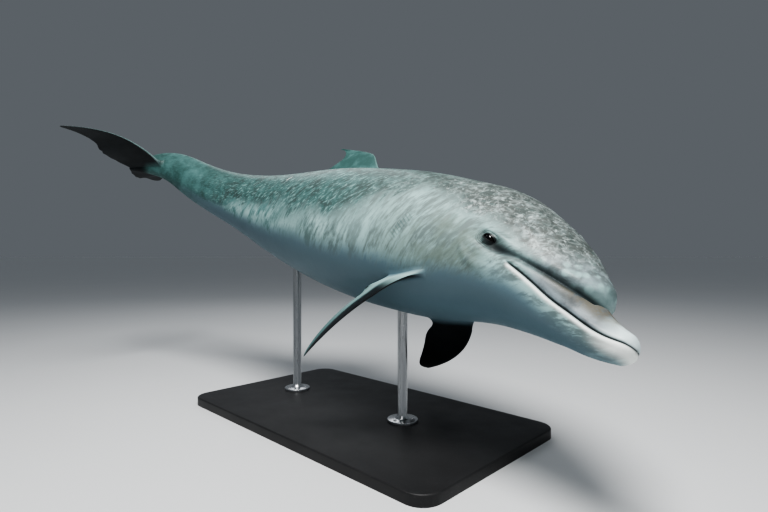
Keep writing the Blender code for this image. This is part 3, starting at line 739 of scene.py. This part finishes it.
def paint_places(ring, distance, turn, side, fins=None):
    """Stores where each vertex lies, for the colours."""
    distance, turn, side = [np.broadcast_to(row, len(ring)) for row in (distance, turn, side)]
    up = height_over_side(distance, turn)
    a, b = eye_offsets(distance, turn)
    # Painted shade: dark paint in the mouth groove, in the blowhole's crescent, in the crease under the
    # melon's overhang and in the band from the eye down to the crease. The crease and band are partly a dark
    # stripe of the skin's own.
    groove_shade = mouth_closed(distance) * hump(up + 0.0006, 0.0024)
    groove_shade = np.maximum(groove_shade, blowhole_forms(distance, turn)[0])
    over_crease = crease_offset(distance, turn)
    wide = 0.62 * hump(over_crease + 0.002, 0.0125) * soft_step(0.130, 0.175, distance)
    crease = np.maximum(hump(over_crease, 0.0050), wide) * crease_fade(distance) * (turn > 0.0)
    band = b + 0.0130 - 0.31 * np.maximum(a - 0.02, 0.0)
    streak = 0.95 * hump(np.hypot((a - 0.048) / 0.050, band / 0.0130) ** 1.4, 1.0)
    # A near-white band under the mouth line: the lip's pale skin, with a painted highlight along its edge.
    lip = mouth_closed(distance) * hump(up + 0.0065, 0.0045)
    # Round the eye: dark lid skin at the opening, painted shade in the folds, and painted shade in front of
    # and under the eye, where the brow overhangs. Partly the skin's own dark eye patch.
    off_rim = np.hypot(a / OPENING[0], b / OPENING[1])
    eye_dark = soft_step(0.0130, 0.0070, off_lid(a, b)) * soft_step(2.8, 1.4, off_rim)
    for away, deep in LID_FOLDS:
        fold = FOLD_SHADE * deep * hump(off_lid(a, b) - away, 0.0012) * fold_reach(a, b)
        eye_dark = np.maximum(eye_dark, fold)
    shade = hump(np.hypot((a - 0.008) / 0.038, (b + 0.0020 + 0.10 * a) / 0.0138) ** 1.2, 1.0)
    eye_dark = np.maximum(eye_dark, 0.92 * shade)
    below_crease = soft_step(0.002, -0.003, over_crease) * soft_step(0.30, 0.20, distance)
    flat = np.stack(skin(distance, turn, side), axis=-1)
    for k, vertex in enumerate(ring):
        vertex[lie] = (distance[k], turn[k] / 90.0, side[k])
        vertex[head_place] = (up[k], below_crease[k], 0.0)
        vertex[straight] = flat[k]
        vertex[fin_place] = fins[k] if fins is not None else (0.0, 0.0, 0.0)
        vertex[shade_lip_and_eye] = (max(groove_shade[k], crease[k], streak[k]), lip[k], eye_dark[k])


ring = list(bmesh.ops.create_circle(bm, segments=len(turns), radius=1.0)["verts"])
rings = []
for i, distance in enumerate(stations):
    if i:
        ring = follow_ring(ring)
    slanted = slant(distance, turns)
    for vertex, spot in zip(ring, surface(distance, slanted, sides)):
        vertex.co = spot
    paint_places(ring, distance, slanted, sides)
    rings.append(ring)
for ring in (rings[0], rings[-1]):
    bmesh.ops.edgeloop_fill(bm, edges=ring_edges(ring))


def open_block(first, last, columns):
    """Deletes the skin's faces between two distances. Returns the vertices round the gap, with each one's
    distance, turn, side and shares along and across the block."""
    rows = [int(np.argmin(np.abs(stations - distance))) for distance in (first, last)]
    rows = list(range(rows[0], rows[1] + 1))
    inner = {rings[i][j] for i in rows for j in columns}
    doomed = {face for v in inner for face in v.link_faces if all(w in inner for w in face.verts)}
    bmesh.ops.delete(bm, geom=list(doomed), context="FACES")
    loop = [(rows[0], j) for j in columns] + [(i, columns[-1]) for i in rows[1:-1]]
    loop += [(rows[-1], j) for j in columns[::-1]] + [(i, columns[0]) for i in rows[-2:0:-1]]
    along = np.array([(i - rows[0]) / (len(rows) - 1) for i, _ in loop])
    across = np.array([columns.index(j) / (len(columns) - 1) for _, j in loop])
    i, j = np.array(loop).T
    return [rings[row][column] for row, column in loop], stations[i], turns[j], sides[j], along, across


def columns_between(low, high, side):
    """Columns of one side, from the lower turn up."""
    within = [j for j in range(len(turns)) if low - 0.01 <= turns[j] <= high + 0.01 and sides[j] == side]
    return sorted(within, key=lambda j: turns[j])


def grow_fin(rim, points, flat, spans):
    """Extrudes a block's rim into a fin: first a fillet out of the skin, then the blade to its tip."""
    ring, distance, turn, side, along, across = rim
    turn = slant(distance, turn)
    blade_at = 2.0 * across - 1.0
    nose = 0.030 * blade_at**2
    chord = np.where(along == 1.0, 1.0 - 0.6 * nose, 0.030 + 0.952 * along**1.15)
    chord = np.where(along == 0.0, nose, chord)
    blade = np.sign(blade_at)
    start = np.array([v.co for v in ring])
    normal = outward(distance, turn, side)
    reach = points(0.0, chord, np.zeros_like(blade)) - start
    reach -= normal * np.sum(reach * normal, axis=1, keepdims=True)
    ends = points(FILLET, chord, blade)
    lift = (points(FILLET + 0.01, chord, blade) - points(FILLET - 0.01, chord, blade)) / 0.02 * FILLET
    fillet = []
    steps = [("fillet", u) for u in np.linspace(0.0, 1.0, 9)[1:]] + [("blade", t) for t in spans]
    for kind, t in steps:
        ring = follow_ring(ring)
        if kind == "fillet":
            h1, h2 = 2.0 * t**3 - 3.0 * t**2 + 1.0, t**3 - 2.0 * t**2 + t
            h3, h4 = 3.0 * t**2 - 2.0 * t**3, t**3 - t**2
            spots = start * h1 + reach * h2 + ends * h3 + lift * h4
            fillet += ring
            t *= FILLET
        else:
            spots = points(t, chord, blade)
        share = np.stack([np.full(len(ring), t), chord, blade_at], axis=-1)
        paint_places(ring, distance, turn, side, share)
        unbent = flat(t, chord)
        blend = min(t / FILLET, 1.0)
        for k, (vertex, spot) in enumerate(zip(ring, spots)):
            vertex.co = spot
            vertex[straight] = Vector(vertex[straight]).lerp(Vector(unbent[k]), blend)
    bmesh.ops.edgeloop_fill(bm, edges=ring_edges(ring))
    return fillet


def flat_side_fin(start, plan, span, side):
    """Where the points of a side fin lie when the body is unbent and the fin spread flat."""
    def flat(t, chord_share):
        lead, chord = plan(t)
        spot = (start + lead + chord * chord_share, side * (0.15 + 0.8 * span * t), -0.1 - 0.6 * span * t)
        return np.stack(np.broadcast_arrays(*spot), axis=-1)

    return flat


def flat_dorsal(t, chord_share):
    lead, chord = dorsal_plan(t)
    spot = (lead + chord * chord_share, 0.0, 0.2 + DORSAL_HEIGHT * t)
    return np.stack(np.broadcast_arrays(*spot), axis=-1)


blade_spans = [FILLET + (1.0 - FILLET) * t for t in np.linspace(0.0, 0.90, 22)[1:]]
blade_spans += [1.0 - (1.0 - blade_spans[-1]) * k for k in (0.75, 0.54, 0.36, 0.21, 0.11, 0.045, 0.012)]
fillets = []
for side in (1.0, -1.0):
    for fin, plan, span, first, last, turned in (
            (flipper, flipper_plan, FLIPPER_SPAN, FLIPPER_FROM, FLIPPER_TO, (-52.5, -39.5)),
            (fluke, fluke_plan, FLUKE_SPAN, FLUKE_FROM, FLUKE_TO, (-20.0, 20.0))):
        rim = open_block(first, last, columns_between(*turned, side))
        fillets += grow_fin(rim, fin(side), flat_side_fin(first, plan, span, side), blade_spans)
top = [j for j in range(len(turns)) if turns[j] > 80.5]
block = sorted(top, key=lambda j: sides[j] * math.cos(math.radians(turns[j])))
fillets += grow_fin(open_block(DORSAL_FROM, DORSAL_TO, block), dorsal, flat_dorsal, blade_spans)
for _ in range(4):
    bmesh.ops.smooth_vert(bm, verts=fillets, factor=0.5, use_axis_x=True, use_axis_y=True, use_axis_z=True)


def turn_at(distance, above):
    """The turn whose skin lies this far above the eye's centre."""
    up = above + EYE_UP
    tall = np.where(up > 0.0, rise_of(distance), drop_of(distance))
    return np.degrees(np.arcsin(np.clip(up / tall, -1.0, 1.0)))


def open_eye(side):
    """Fills a block round the eye with rings that close in on the opening and fold in as lids."""
    ring, distance, turn, *_ = open_block(EYE_AT - 0.034, EYE_AT + 0.034, columns_between(-2.5, 16.5, side))
    ahead = EYE_AT - distance
    above = height_over_side(distance, turn) - EYE_UP
    angle = np.arctan2(above / np.abs(above).max(), ahead / np.abs(ahead).max())
    round_a = OPENING[0] * np.cos(angle)
    round_b = OPENING[1] * np.sign(np.sin(angle)) * np.abs(np.sin(angle)) ** 1.35
    cos, sin = math.cos(EYE_TILT), math.sin(EYE_TILT)
    rim_ahead, rim_above = round_a * cos - round_b * sin, round_a * sin + round_b * cos
    count = LID_RINGS
    steps = [(1.0 - (1.0 - k / count) ** 1.35, 0.0, 1.0) for k in range(1, count + 1)]
    steps += [(1.0, deep, shrink) for deep, shrink in LID_INSIDE]
    for share, deep, shrink in steps:
        ring = follow_ring(ring)
        here = EYE_AT - (ahead * (1.0 - share) + rim_ahead * share * shrink)
        up = above * (1.0 - share) + rim_above * share * shrink
        turned = turn_at(here, up)
        spots = surface(here, turned, side) - outward(here, turned, side) * deep
        for vertex, spot in zip(ring, spots):
            vertex.co = spot
        paint_places(ring, here, turned, side)
    bmesh.ops.edgeloop_fill(bm, edges=ring_edges(ring))


for side in (1.0, -1.0):
    open_eye(side)
bmesh.ops.recalc_face_normals(bm, faces=bm.faces)
if bm.calc_volume(signed=True) < 0.0:
    bmesh.ops.reverse_faces(bm, faces=bm.faces)


# Pale dapples: partly mottling, partly painted caustic light.
DAPPLE_CAUSTIC_PALE = (0.440, 0.505, 0.500, 1.0)
DAPPLE_DARK = (0.034, 0.042, 0.040, 1.0)
CAPE_HEAD = (0.086, 0.094, 0.088, 1.0)  # taupe
CAPE_BACK = (0.038, 0.092, 0.086, 1.0)  # greener
CAPE_FLECK = (0.190, 0.320, 0.308, 1.0)
HEAD_MOTTLE = (0.128, 0.158, 0.162, 1.0)
# The cheek's green, darkened as painted shade where the cheek faces down.
CHEEK_GREEN_SHADE = (0.120, 0.150, 0.125, 1.0)
FLANK_PALE = (0.340, 0.500, 0.495, 1.0)
FLANK_MID = (0.092, 0.190, 0.186, 1.0)
FLANK_GREY = (0.140, 0.185, 0.180, 1.0)
# Painted shade: the belly and throat are painted a shadowed blue grey.
BELLY_PAINTED_SHADE = (0.125, 0.195, 0.230, 1.0)
# Painted shade: flippers and flukes are painted nearly black, as if in shadow.
FIN_DEEP_SHADE = (0.0055, 0.0075, 0.0090, 1.0)
FIN_SHADE = (0.016, 0.021, 0.024, 1.0)
LIP_PALE = (0.850, 0.880, 0.850, 1.0)
MELON_PALE = (0.250, 0.315, 0.335, 1.0)
BEAK_GREY = (0.080, 0.092, 0.099, 1.0)
BEAK_PALE = (0.190, 0.232, 0.253, 1.0)
BEAK_TIP = (0.600, 0.700, 0.710, 1.0)
BEAK_BEIGE = (0.130, 0.116, 0.085, 1.0)
# Painted shade in the grooves and the crease.
GROOVE_AND_CREASE_SHADE = (0.012, 0.022, 0.026, 1.0)
# The dark lids and the painted shade round the eye.
EYE_DARK_AND_SHADE = (0.004, 0.006, 0.007, 1.0)
SKIN_BUMP = 0.0007
SKIN_COAT = 0.05
RAKES_AT = (0.6375, -14.5)  # distance and turn
RAKE_LEAN = (0.45, 0.89)
RAKE_LINES = 600.0  # how close the lines of the tooth rakes lie
NICK_AT = (1.3875, 25.5)
GIRTH_PER_DEGREE = 0.0036  # metres round the chest for each degree of turn


def skin_values(where):
    """The stored values that the skin's colour, gloss and bump share."""
    p = {"flat": where.stored("straight")}
    for name, words in (("lie", ("distance", "turn", "side")), ("fin_place", ("span", "chord", "blade")),
                        ("shade_lip_and_eye", ("groove_shade", "lip", "eye")), ("head_place", ("rise", "crease"))):
        vector = where.stored(name)
        for k, word in enumerate(words):
            p[word] = vector.part(k)
    return p


def round_girth(p, lean, squeeze):
    """A place whose noise is drawn out into strokes round the girth, which lean back."""
    return p["flat"].vector(p["distance"] + p["turn"] * lean, p["turn"] * squeeze, p["flat"].part(1) * 0.25)


def skin_colour(where):
    p = skin_values(where)
    s, turn, up, flat = p["distance"], p["turn"] * 90.0, p["rise"], p["flat"]
    cloud = flat.noise(5.5, 4.0, 0.6)
    blotch = flat.noise(24.0, 3.0, 0.6, 0.5)
    fleck = flat.noise(80.0, 3.0, 0.62, 0.4)
    girth = round_girth(p, 0.12, 0.10)
    streak = girth.noise(30.0, 4.0, 0.60, 0.3)
    strokes = streak * 0.62 + girth.noise(90.0, 3.0, 0.6, 0.3) * 0.38
    short_strokes = round_girth(p, 0.22, 0.20).noise(95.0, 3.0, 0.6, 0.3)
    flecks = (short_strokes - 0.5) * p["span"].fade(0.030, 0.0) + 0.5
    # Bright threads, as a net, where a noise crosses its middle: painted light, copying the net of caustic
    # light that rippling water casts.
    caustic_net = abs(flat.noise(21.0, 2.0, 0.5, 0.6) - 0.5).fade(0.045, 0.004) * cloud.fade(0.38, 0.58)
    fine_caustic_net = abs(flat.noise(40.0, 2.0, 0.5, 0.5) - 0.5).fade(0.070, 0.006) * blotch.fade(0.40, 0.60)
    # The dark cape: its lower border runs high behind the eye and low past the dorsal fin.
    border = s.fade(0.10, 0.45) * -8.0 + 27.0 + s.fade(0.60, 1.00) * -35.0 + s.fade(1.55, 2.00) * -40.0
    cape = (turn + ((cloud - 0.5) * 40.0 + (strokes - 0.5) * 70.0) - border).fade(-9.0, 13.0)
    # Flank: pale, with strokes round the girth, and greener on the cheek. The pale strokes copy streaks of
    # caustic light, so they are partly painted light. The cheek's darker green is partly painted shade,
    # where the cheek faces down.
    flank = strokes.fade(0.40, 0.62).tint(s.fade(0.75, 1.50).tint(FLANK_GREY, FLANK_MID), FLANK_PALE)
    flank = (cloud.fade(0.50, 0.75) * 0.35).tint(flank, FLANK_PALE)
    shaded_cheek = s.fade(0.30, 0.38) * s.fade(0.85, 0.46) * turn.fade(14.0, -2.0)
    flank = (shaded_cheek * (cloud * 0.4 + streak * 0.6).fade(0.40, 0.58) * 0.80).tint(flank, CHEEK_GREEN_SHADE)
    # Cape: taupe and dappled on the head, greener and flecked behind. The pale dapples and threads are
    # partly mottling and partly painted caustic light.
    along = s.fade(0.40, 1.05)
    mixed = (blotch.fade(0.54, 0.38) * 0.62).tint(along.tint(CAPE_HEAD, CAPE_BACK), DAPPLE_DARK)
    mottle = (fleck * 0.45 + blotch * 0.55).fade(0.50, 0.62) * (0.80 - along * 0.45)
    mixed = mottle.tint(mixed, along.tint(HEAD_MOTTLE, FLANK_MID))
    mixed = ((fleck * 0.7 + cloud * 0.3).fade(0.54, 0.66) * (1.0 - along) * 0.60).tint(mixed, DAPPLE_CAUSTIC_PALE)
    caustic_threads = (caustic_net * 0.20 + fine_caustic_net * 0.28) * s.fade(0.95, 0.45)
    mixed = caustic_threads.below(0.50).tint(mixed, DAPPLE_CAUSTIC_PALE)
    mixed = (flecks.fade(0.50, 0.68) * (along * 0.65 + 0.15)).tint(mixed, CAPE_FLECK)
    mixed = (flecks.fade(0.48, 0.36) * along * 0.35).tint(mixed, DAPPLE_DARK)
    colour = (cape * 0.94).tint(flank, mixed)
    # Tail stock: an even grey-green with a few pale clouds.
    tail_look = (cloud * 0.6 + blotch * 0.4).fade(0.40, 0.66).tint(CAPE_BACK, FLANK_MID)
    colour = (s.fade(1.65, 2.05) * 0.80).tint(colour, tail_look)
    # Belly and throat: an even blue grey, painted darker than the skin's own pale colour: painted shade, as
    # if the light from above leaves them in shadow.
    line = s.fade(0.25, 0.60) * -12.0 - 30.0
    shaded_belly = (turn * -1.0 + line + (cloud - 0.5) * 16.0 + (strokes - 0.5) * 30.0).fade(-8.0, 10.0)
    colour = (shaded_belly * s.fade(2.20, 1.80)).tint(colour, BELLY_PAINTED_SHADE)
    # Melon: paler, with round dapples, which are partly mottling and partly painted caustic light. Its front
    # is painted paler still: painted light, where the light from the front falls on it.
    melon = (s + turn * 0.0010 + (cloud - 0.5) * 0.14).fade(0.350, 0.255) * turn.fade(4.0, 12.0)
    melon_look = (blotch * 0.8 + cloud * 0.2).fade(0.42, 0.60).tint(HEAD_MOTTLE, MELON_PALE)
    round_spots = {"Vector": flat, "Scale": 44.0, "Smoothness": 0.4}
    spots = flat.node("ShaderNodeTexVoronoi", {"feature": "SMOOTH_F1"}, round_spots)
    melon_look = (spots.fade(0.50, 0.24) * blotch.fade(0.36, 0.50) * 0.90).tint(melon_look, FLANK_PALE)
    melon_look = (s.fade(0.200, 0.130) * 0.75).tint(melon_look, FLANK_PALE)
    colour = (melon * 0.85).tint(colour, melon_look)
    # Beak: grey, beige on the ridge, paler at the tip. The lip under the mouth is nearly white.
    beak_look = (blotch * 0.6 + cloud * 0.4).fade(0.38, 0.62).tint(BEAK_GREY, BEAK_PALE)
    ridge = up.fade(0.010, 0.034) * (blotch * 0.6 + fleck * 0.4).fade(0.36, 0.54)
    beak_look = (ridge * 0.85).tint(beak_look, BEAK_BEIGE)
    beak_look = (s + (blotch - 0.5) * 0.06).fade(0.080, 0.015).tint(beak_look, BEAK_TIP)
    colour = (s.fade(0.30, 0.22) * turn.fade(-1.0, 1.0) * p["crease"]).tint(colour, beak_look)
    # The lower jaw's underside turns to the belly's painted shade.
    jaw_pale = strokes.fade(0.45, 0.60).tint(FLANK_GREY, FLANK_PALE)
    jaw_look = up.fade(-0.050, -0.008).tint(BELLY_PAINTED_SHADE, jaw_pale)
    jaw_look = (s.fade(0.090, 0.010) * up.fade(-0.036, -0.016)).tint(jaw_look, LIP_PALE)
    colour = (s.fade(0.40, 0.20) * turn.fade(1.0, -1.0)).tint(colour, jaw_look)
    # Fins: painted nearly black, as painted shade, as if the flippers and flukes lay in shadow. The dorsal
    # fin keeps the colour of the back.
    fin_shade_and_light = (blotch * 0.5 + cloud * 0.5).fade(0.30, 0.75).tint(FIN_DEEP_SHADE, FIN_SHADE)
    dorsal_fin = s.fade(0.90, 1.00) * s.fade(1.70, 1.60)
    fin_shade_and_light = dorsal_fin.tint(fin_shade_and_light, (blotch * 0.4 + cloud * 0.6).fade(0.44, 0.66).tint(CAPE_BACK, FLANK_MID))
    # The flippers' upper side stays pale at the root and along the rear edge: painted light, where the light
    # from above falls on it.
    upper = p["chord"].fade(0.22, 0.50) + p["span"].fade(0.34, 0.08)
    upper = s.fade(0.95, 0.85) * p["blade"].fade(-0.2, 0.5) * upper.below(1.0)
    fin_shade_and_light = (upper * 0.85).tint(fin_shade_and_light, p["span"].fade(0.0, 0.95).tint(FLANK_PALE, FLANK_MID))
    fin = (p["span"] * (11.0 - dorsal_fin * 7.5) + s.fade(2.29, 2.37)).fade(0.10, 1.0)
    colour = fin.tint(colour, fin_shade_and_light)
    # A painted highlight along the flukes' leading edge, where the light from above catches it, and a little
    # along the dorsal fin's.
    lit_edge = p["chord"].fade(0.042, 0.018) * p["span"].fade(0.04, 0.12) * s.fade(0.85, 0.95)
    colour = (lit_edge * (1.0 - dorsal_fin * 0.7) * 0.55).tint(colour, FLANK_PALE)
    # Mouth, crease and eye: a near-white lip with a painted highlight along it, painted shade in the mouth
    # groove, blowhole and crease, and dark lids with painted shade round the eye.
    colour = (p["lip"] * 0.90).tint(colour, LIP_PALE)
    colour = p["groove_shade"].below(0.99).tint(colour, GROOVE_AND_CREASE_SHADE)
    colour = p["eye"].below(0.99).tint(colour, EYE_DARK_AND_SHADE)
    # Marks on the right side: parallel tooth rakes over and behind the flipper, and one nick on the back.
    right = p["side"].fade(0.5, -0.5)
    back, up_girth = s - RAKES_AT[0], (turn - RAKES_AT[1]) * GIRTH_PER_DEGREE
    along_rake = back * RAKE_LEAN[0] - up_girth * RAKE_LEAN[1]
    across_rake = up_girth * RAKE_LEAN[0] + back * RAKE_LEAN[1]
    phase = along_rake * RAKE_LINES
    rakes = phase.math("SINE", phase).fade(0.0, 0.7) * abs(across_rake).fade(0.020, 0.010)
    rakes = rakes * abs(along_rake).fade(0.052, 0.034)
    colour = (rakes * right * 0.34).tint(colour, CAPE_BACK)
    back, up_girth = s - NICK_AT[0], (turn - NICK_AT[1]) * GIRTH_PER_DEGREE
    nick = abs(back + up_girth * 0.35).fade(0.0030, 0.0012) * abs(up_girth).fade(0.016, 0.010)
    return (nick * right).tint(colour, LIP_PALE)


def skin_rough(where):
    p = skin_values(where)
    return p["flat"].noise(14.0, 4.0) * 0.14 + 0.44 + p["groove_shade"] * 0.2


def skin_bump(where):
    """Pores, fine ridges round the girth and a slow unevenness."""
    p = skin_values(where)
    ridges = round_girth(p, 0.0, 0.03).noise(160.0, 3.0) * 0.35
    return p["flat"].noise(340.0, 3.0) * 0.25 + ridges + p["flat"].noise(38.0, 3.0) * 0.9


skin_look = finish_paint("painted_dolphin_skin", skin_colour, skin_rough, skin_bump, SKIN_BUMP,
                         coat=SKIN_COAT)
flesh = ("beak_upper", "lower_jaw", "melon", "head", "neck", "chest", "loin", "tail", "tail_stock",
         "dorsal_fin", "flipper_left", "flipper_right", "fluke_left", "fluke_right")
add_piece("dolphin_skin", bm, skin_look, "flank_skin", *flesh)


# ------------------------------------------------------------------ eyes
# Two glass eyes, blown and painted from behind: a dark brown iris with a wide pupil, a clear bulged cornea
# and a dark rim. Each is set into the head from inside, against the lids.

CORNEA = 0.0011  # how far the cornea stands over the ball
IRIS_SHARE = 0.62  # its radius as a share of the ball's
EYE_COAT = 0.35
IRIS_BROWN = (0.020, 0.013, 0.009, 1.0)
IRIS_DARK = (0.004, 0.003, 0.003, 1.0)
WHITE_DARK = (0.006, 0.005, 0.005, 1.0)
WHITE_PALE = (0.020, 0.016, 0.015, 1.0)
PUPIL_BLACK = (0.001, 0.001, 0.002, 1.0)


def eye_colour(where):
    gaze = where.stored("gaze")
    x, y = gaze.part(0), gaze.part(1)
    radius = (x * x + y * y) ** 0.5
    fibres = gaze.vector(y.math("ARCTAN2", y, x) * 6.0, radius * 1.4, 0.0).noise(2.4, 4.0, 0.65)
    iris = fibres.fade(0.3, 0.7).tint(IRIS_DARK, IRIS_BROWN)
    white = gaze.noise(7.0, 4.0, 0.6, 0.8).fade(0.35, 0.75).tint(WHITE_DARK, WHITE_PALE)
    colour = radius.fade(0.56, 0.64).tint(iris, white)
    limbus = radius.fade(0.50, 0.60) * radius.fade(0.72, 0.62)
    colour = (limbus * 0.85).tint(colour, IRIS_DARK)
    pupil = ((x * x * 0.45 + y * y) ** 0.5 + (gaze.noise(9.0) - 0.5) * 0.02).fade(0.30, 0.26)
    return pupil.tint(colour, PUPIL_BLACK)


def eye_rough(where):
    return where.stored("gaze").noise(5.0) * 0.04 + 0.16


eye_look = finish_paint("painted_glass_eye", eye_colour, eye_rough, coat=EYE_COAT)
for node, side in (("eye_left", 1.0), ("eye_right", -1.0)):
    low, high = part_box(node)
    middle = (low + high) / 2.0
    pole = Vector(outward(np.array([EYE_AT]), np.array([EYE_TURN]), side)[0])
    ahead = Vector(spine_frame(EYE_AT)[1])
    ahead = (ahead - pole * ahead.dot(pole)).normalized()
    upright = pole.cross(ahead) * side
    bm = bmesh.new()
    gaze = bm.verts.layers.float_vector.new("gaze")
    bmesh.ops.create_uvsphere(bm, u_segments=96, v_segments=64, radius=1.0)
    for vertex in bm.verts:
        x, y, z = vertex.co
        vertex[gaze] = (x, y, z)
        bulge = float(soft_step(IRIS_SHARE, 0.30, math.hypot(x, y))) * (z > 0.0)
        reach = EYE_RADIUS + CORNEA * bulge
        vertex.co = middle + (ahead * x + upright * y + pole * z) * reach
    if bm.calc_volume(signed=True) < 0.0:
        bmesh.ops.reverse_faces(bm, faces=bm.faces)
    add_piece(f"glass_{node}", bm, eye_look, "eye", node)


# ------------------------------------------------------------------ floor and light
# A seamless pale studio floor. One large soft light hangs overhead, a little towards the camera, with a weak
# one in front and one behind, and an even fill from all round.

FLOOR_REACH = 400.0
FLOOR_PALE = (0.625, 0.632, 0.640, 1.0)
FLOOR_DARK = (0.600, 0.610, 0.620, 1.0)
FILL_COLOUR = (0.80, 0.86, 0.92, 1.0)
FILL_STRENGTH = 0.24
BACKDROP = (0.125, 0.136, 0.148, 1.0)  # what the camera sees past the floor's far edge


def floor_colour(where):
    return where.noise(0.9, 3.0).tint(FLOOR_DARK, FLOOR_PALE)


def floor_rough(where):
    return where.noise(3.0, 3.0) * 0.10 + 0.72


bm = bmesh.new()
bmesh.ops.create_grid(bm, x_segments=2, y_segments=2, size=FLOOR_REACH)
floor_look = finish_paint("studio_floor_paint", floor_colour, floor_rough)
floor = add_object("studio_floor", mesh_of("studio_floor", bm, floor_look))


def soft_light(name, spot, aim, size, watts, colour):
    light = bpy.data.lights.new(name, "AREA")
    light.shape = "DISK"
    light.size = size
    light.energy = watts
    light.color = colour
    made = add_object(name, light)
    made.location = spot
    made.rotation_euler = (Vector(aim) - Vector(spot)).to_track_quat("-Z", "Y").to_euler()


soft_light("key", (0.85, -1.2, 3.25), (0.2, -0.1, 0.7), 1.4, 138.0, (1.0, 0.99, 0.97))
soft_light("front", (2.5, -0.5, 1.7), (0.7, -0.3, 0.6), 1.2, 9.0, (1.0, 1.0, 1.0))
soft_light("rim", (-2.6, 1.6, 3.0), (-0.4, 0.0, 0.7), 2.0, 16.0, (0.96, 0.98, 1.0))

world = bpy.data.worlds.new("studio")
world.use_nodes = True
tree = world.node_tree
tree.nodes["Background"].inputs["Color"].default_value = FILL_COLOUR
tree.nodes["Background"].inputs["Strength"].default_value = FILL_STRENGTH
fill = Value(tree, tree.nodes["Background"].outputs[0])
seen = fill.node("ShaderNodeBackground", {}, {"Color": BACKDROP, "Strength": 1.0})
mixed = fill.node("ShaderNodeMixShader", {}, {0: fill.node("ShaderNodeLightPath"), 1: fill, 2: seen})
tree.links.new(mixed.socket, tree.nodes["World Output"].inputs["Surface"])
bpy.context.scene.world = world
bpy.context.scene.view_settings.look = "AgX - High Contrast"


# ------------------------------------------------------------------ camera
# It stands in front of the right flank at the height of the head, level, with a wide lens.

CAMERA_SPOT = (1.2116, -1.1776, 0.567)
CAMERA_AIM = (-0.698, 0.716, 0.0)
CAMERA_LENS = 22.8

camera = bpy.data.cameras.new("view")
camera.lens = CAMERA_LENS
camera.sensor_width = 36.0
camera.clip_end = 1000.0
viewer = add_object("view", camera)
viewer.location = CAMERA_SPOT
viewer.rotation_euler = Vector(CAMERA_AIM).to_track_quat("-Z", "Y").to_euler()
bpy.context.scene.camera = viewer
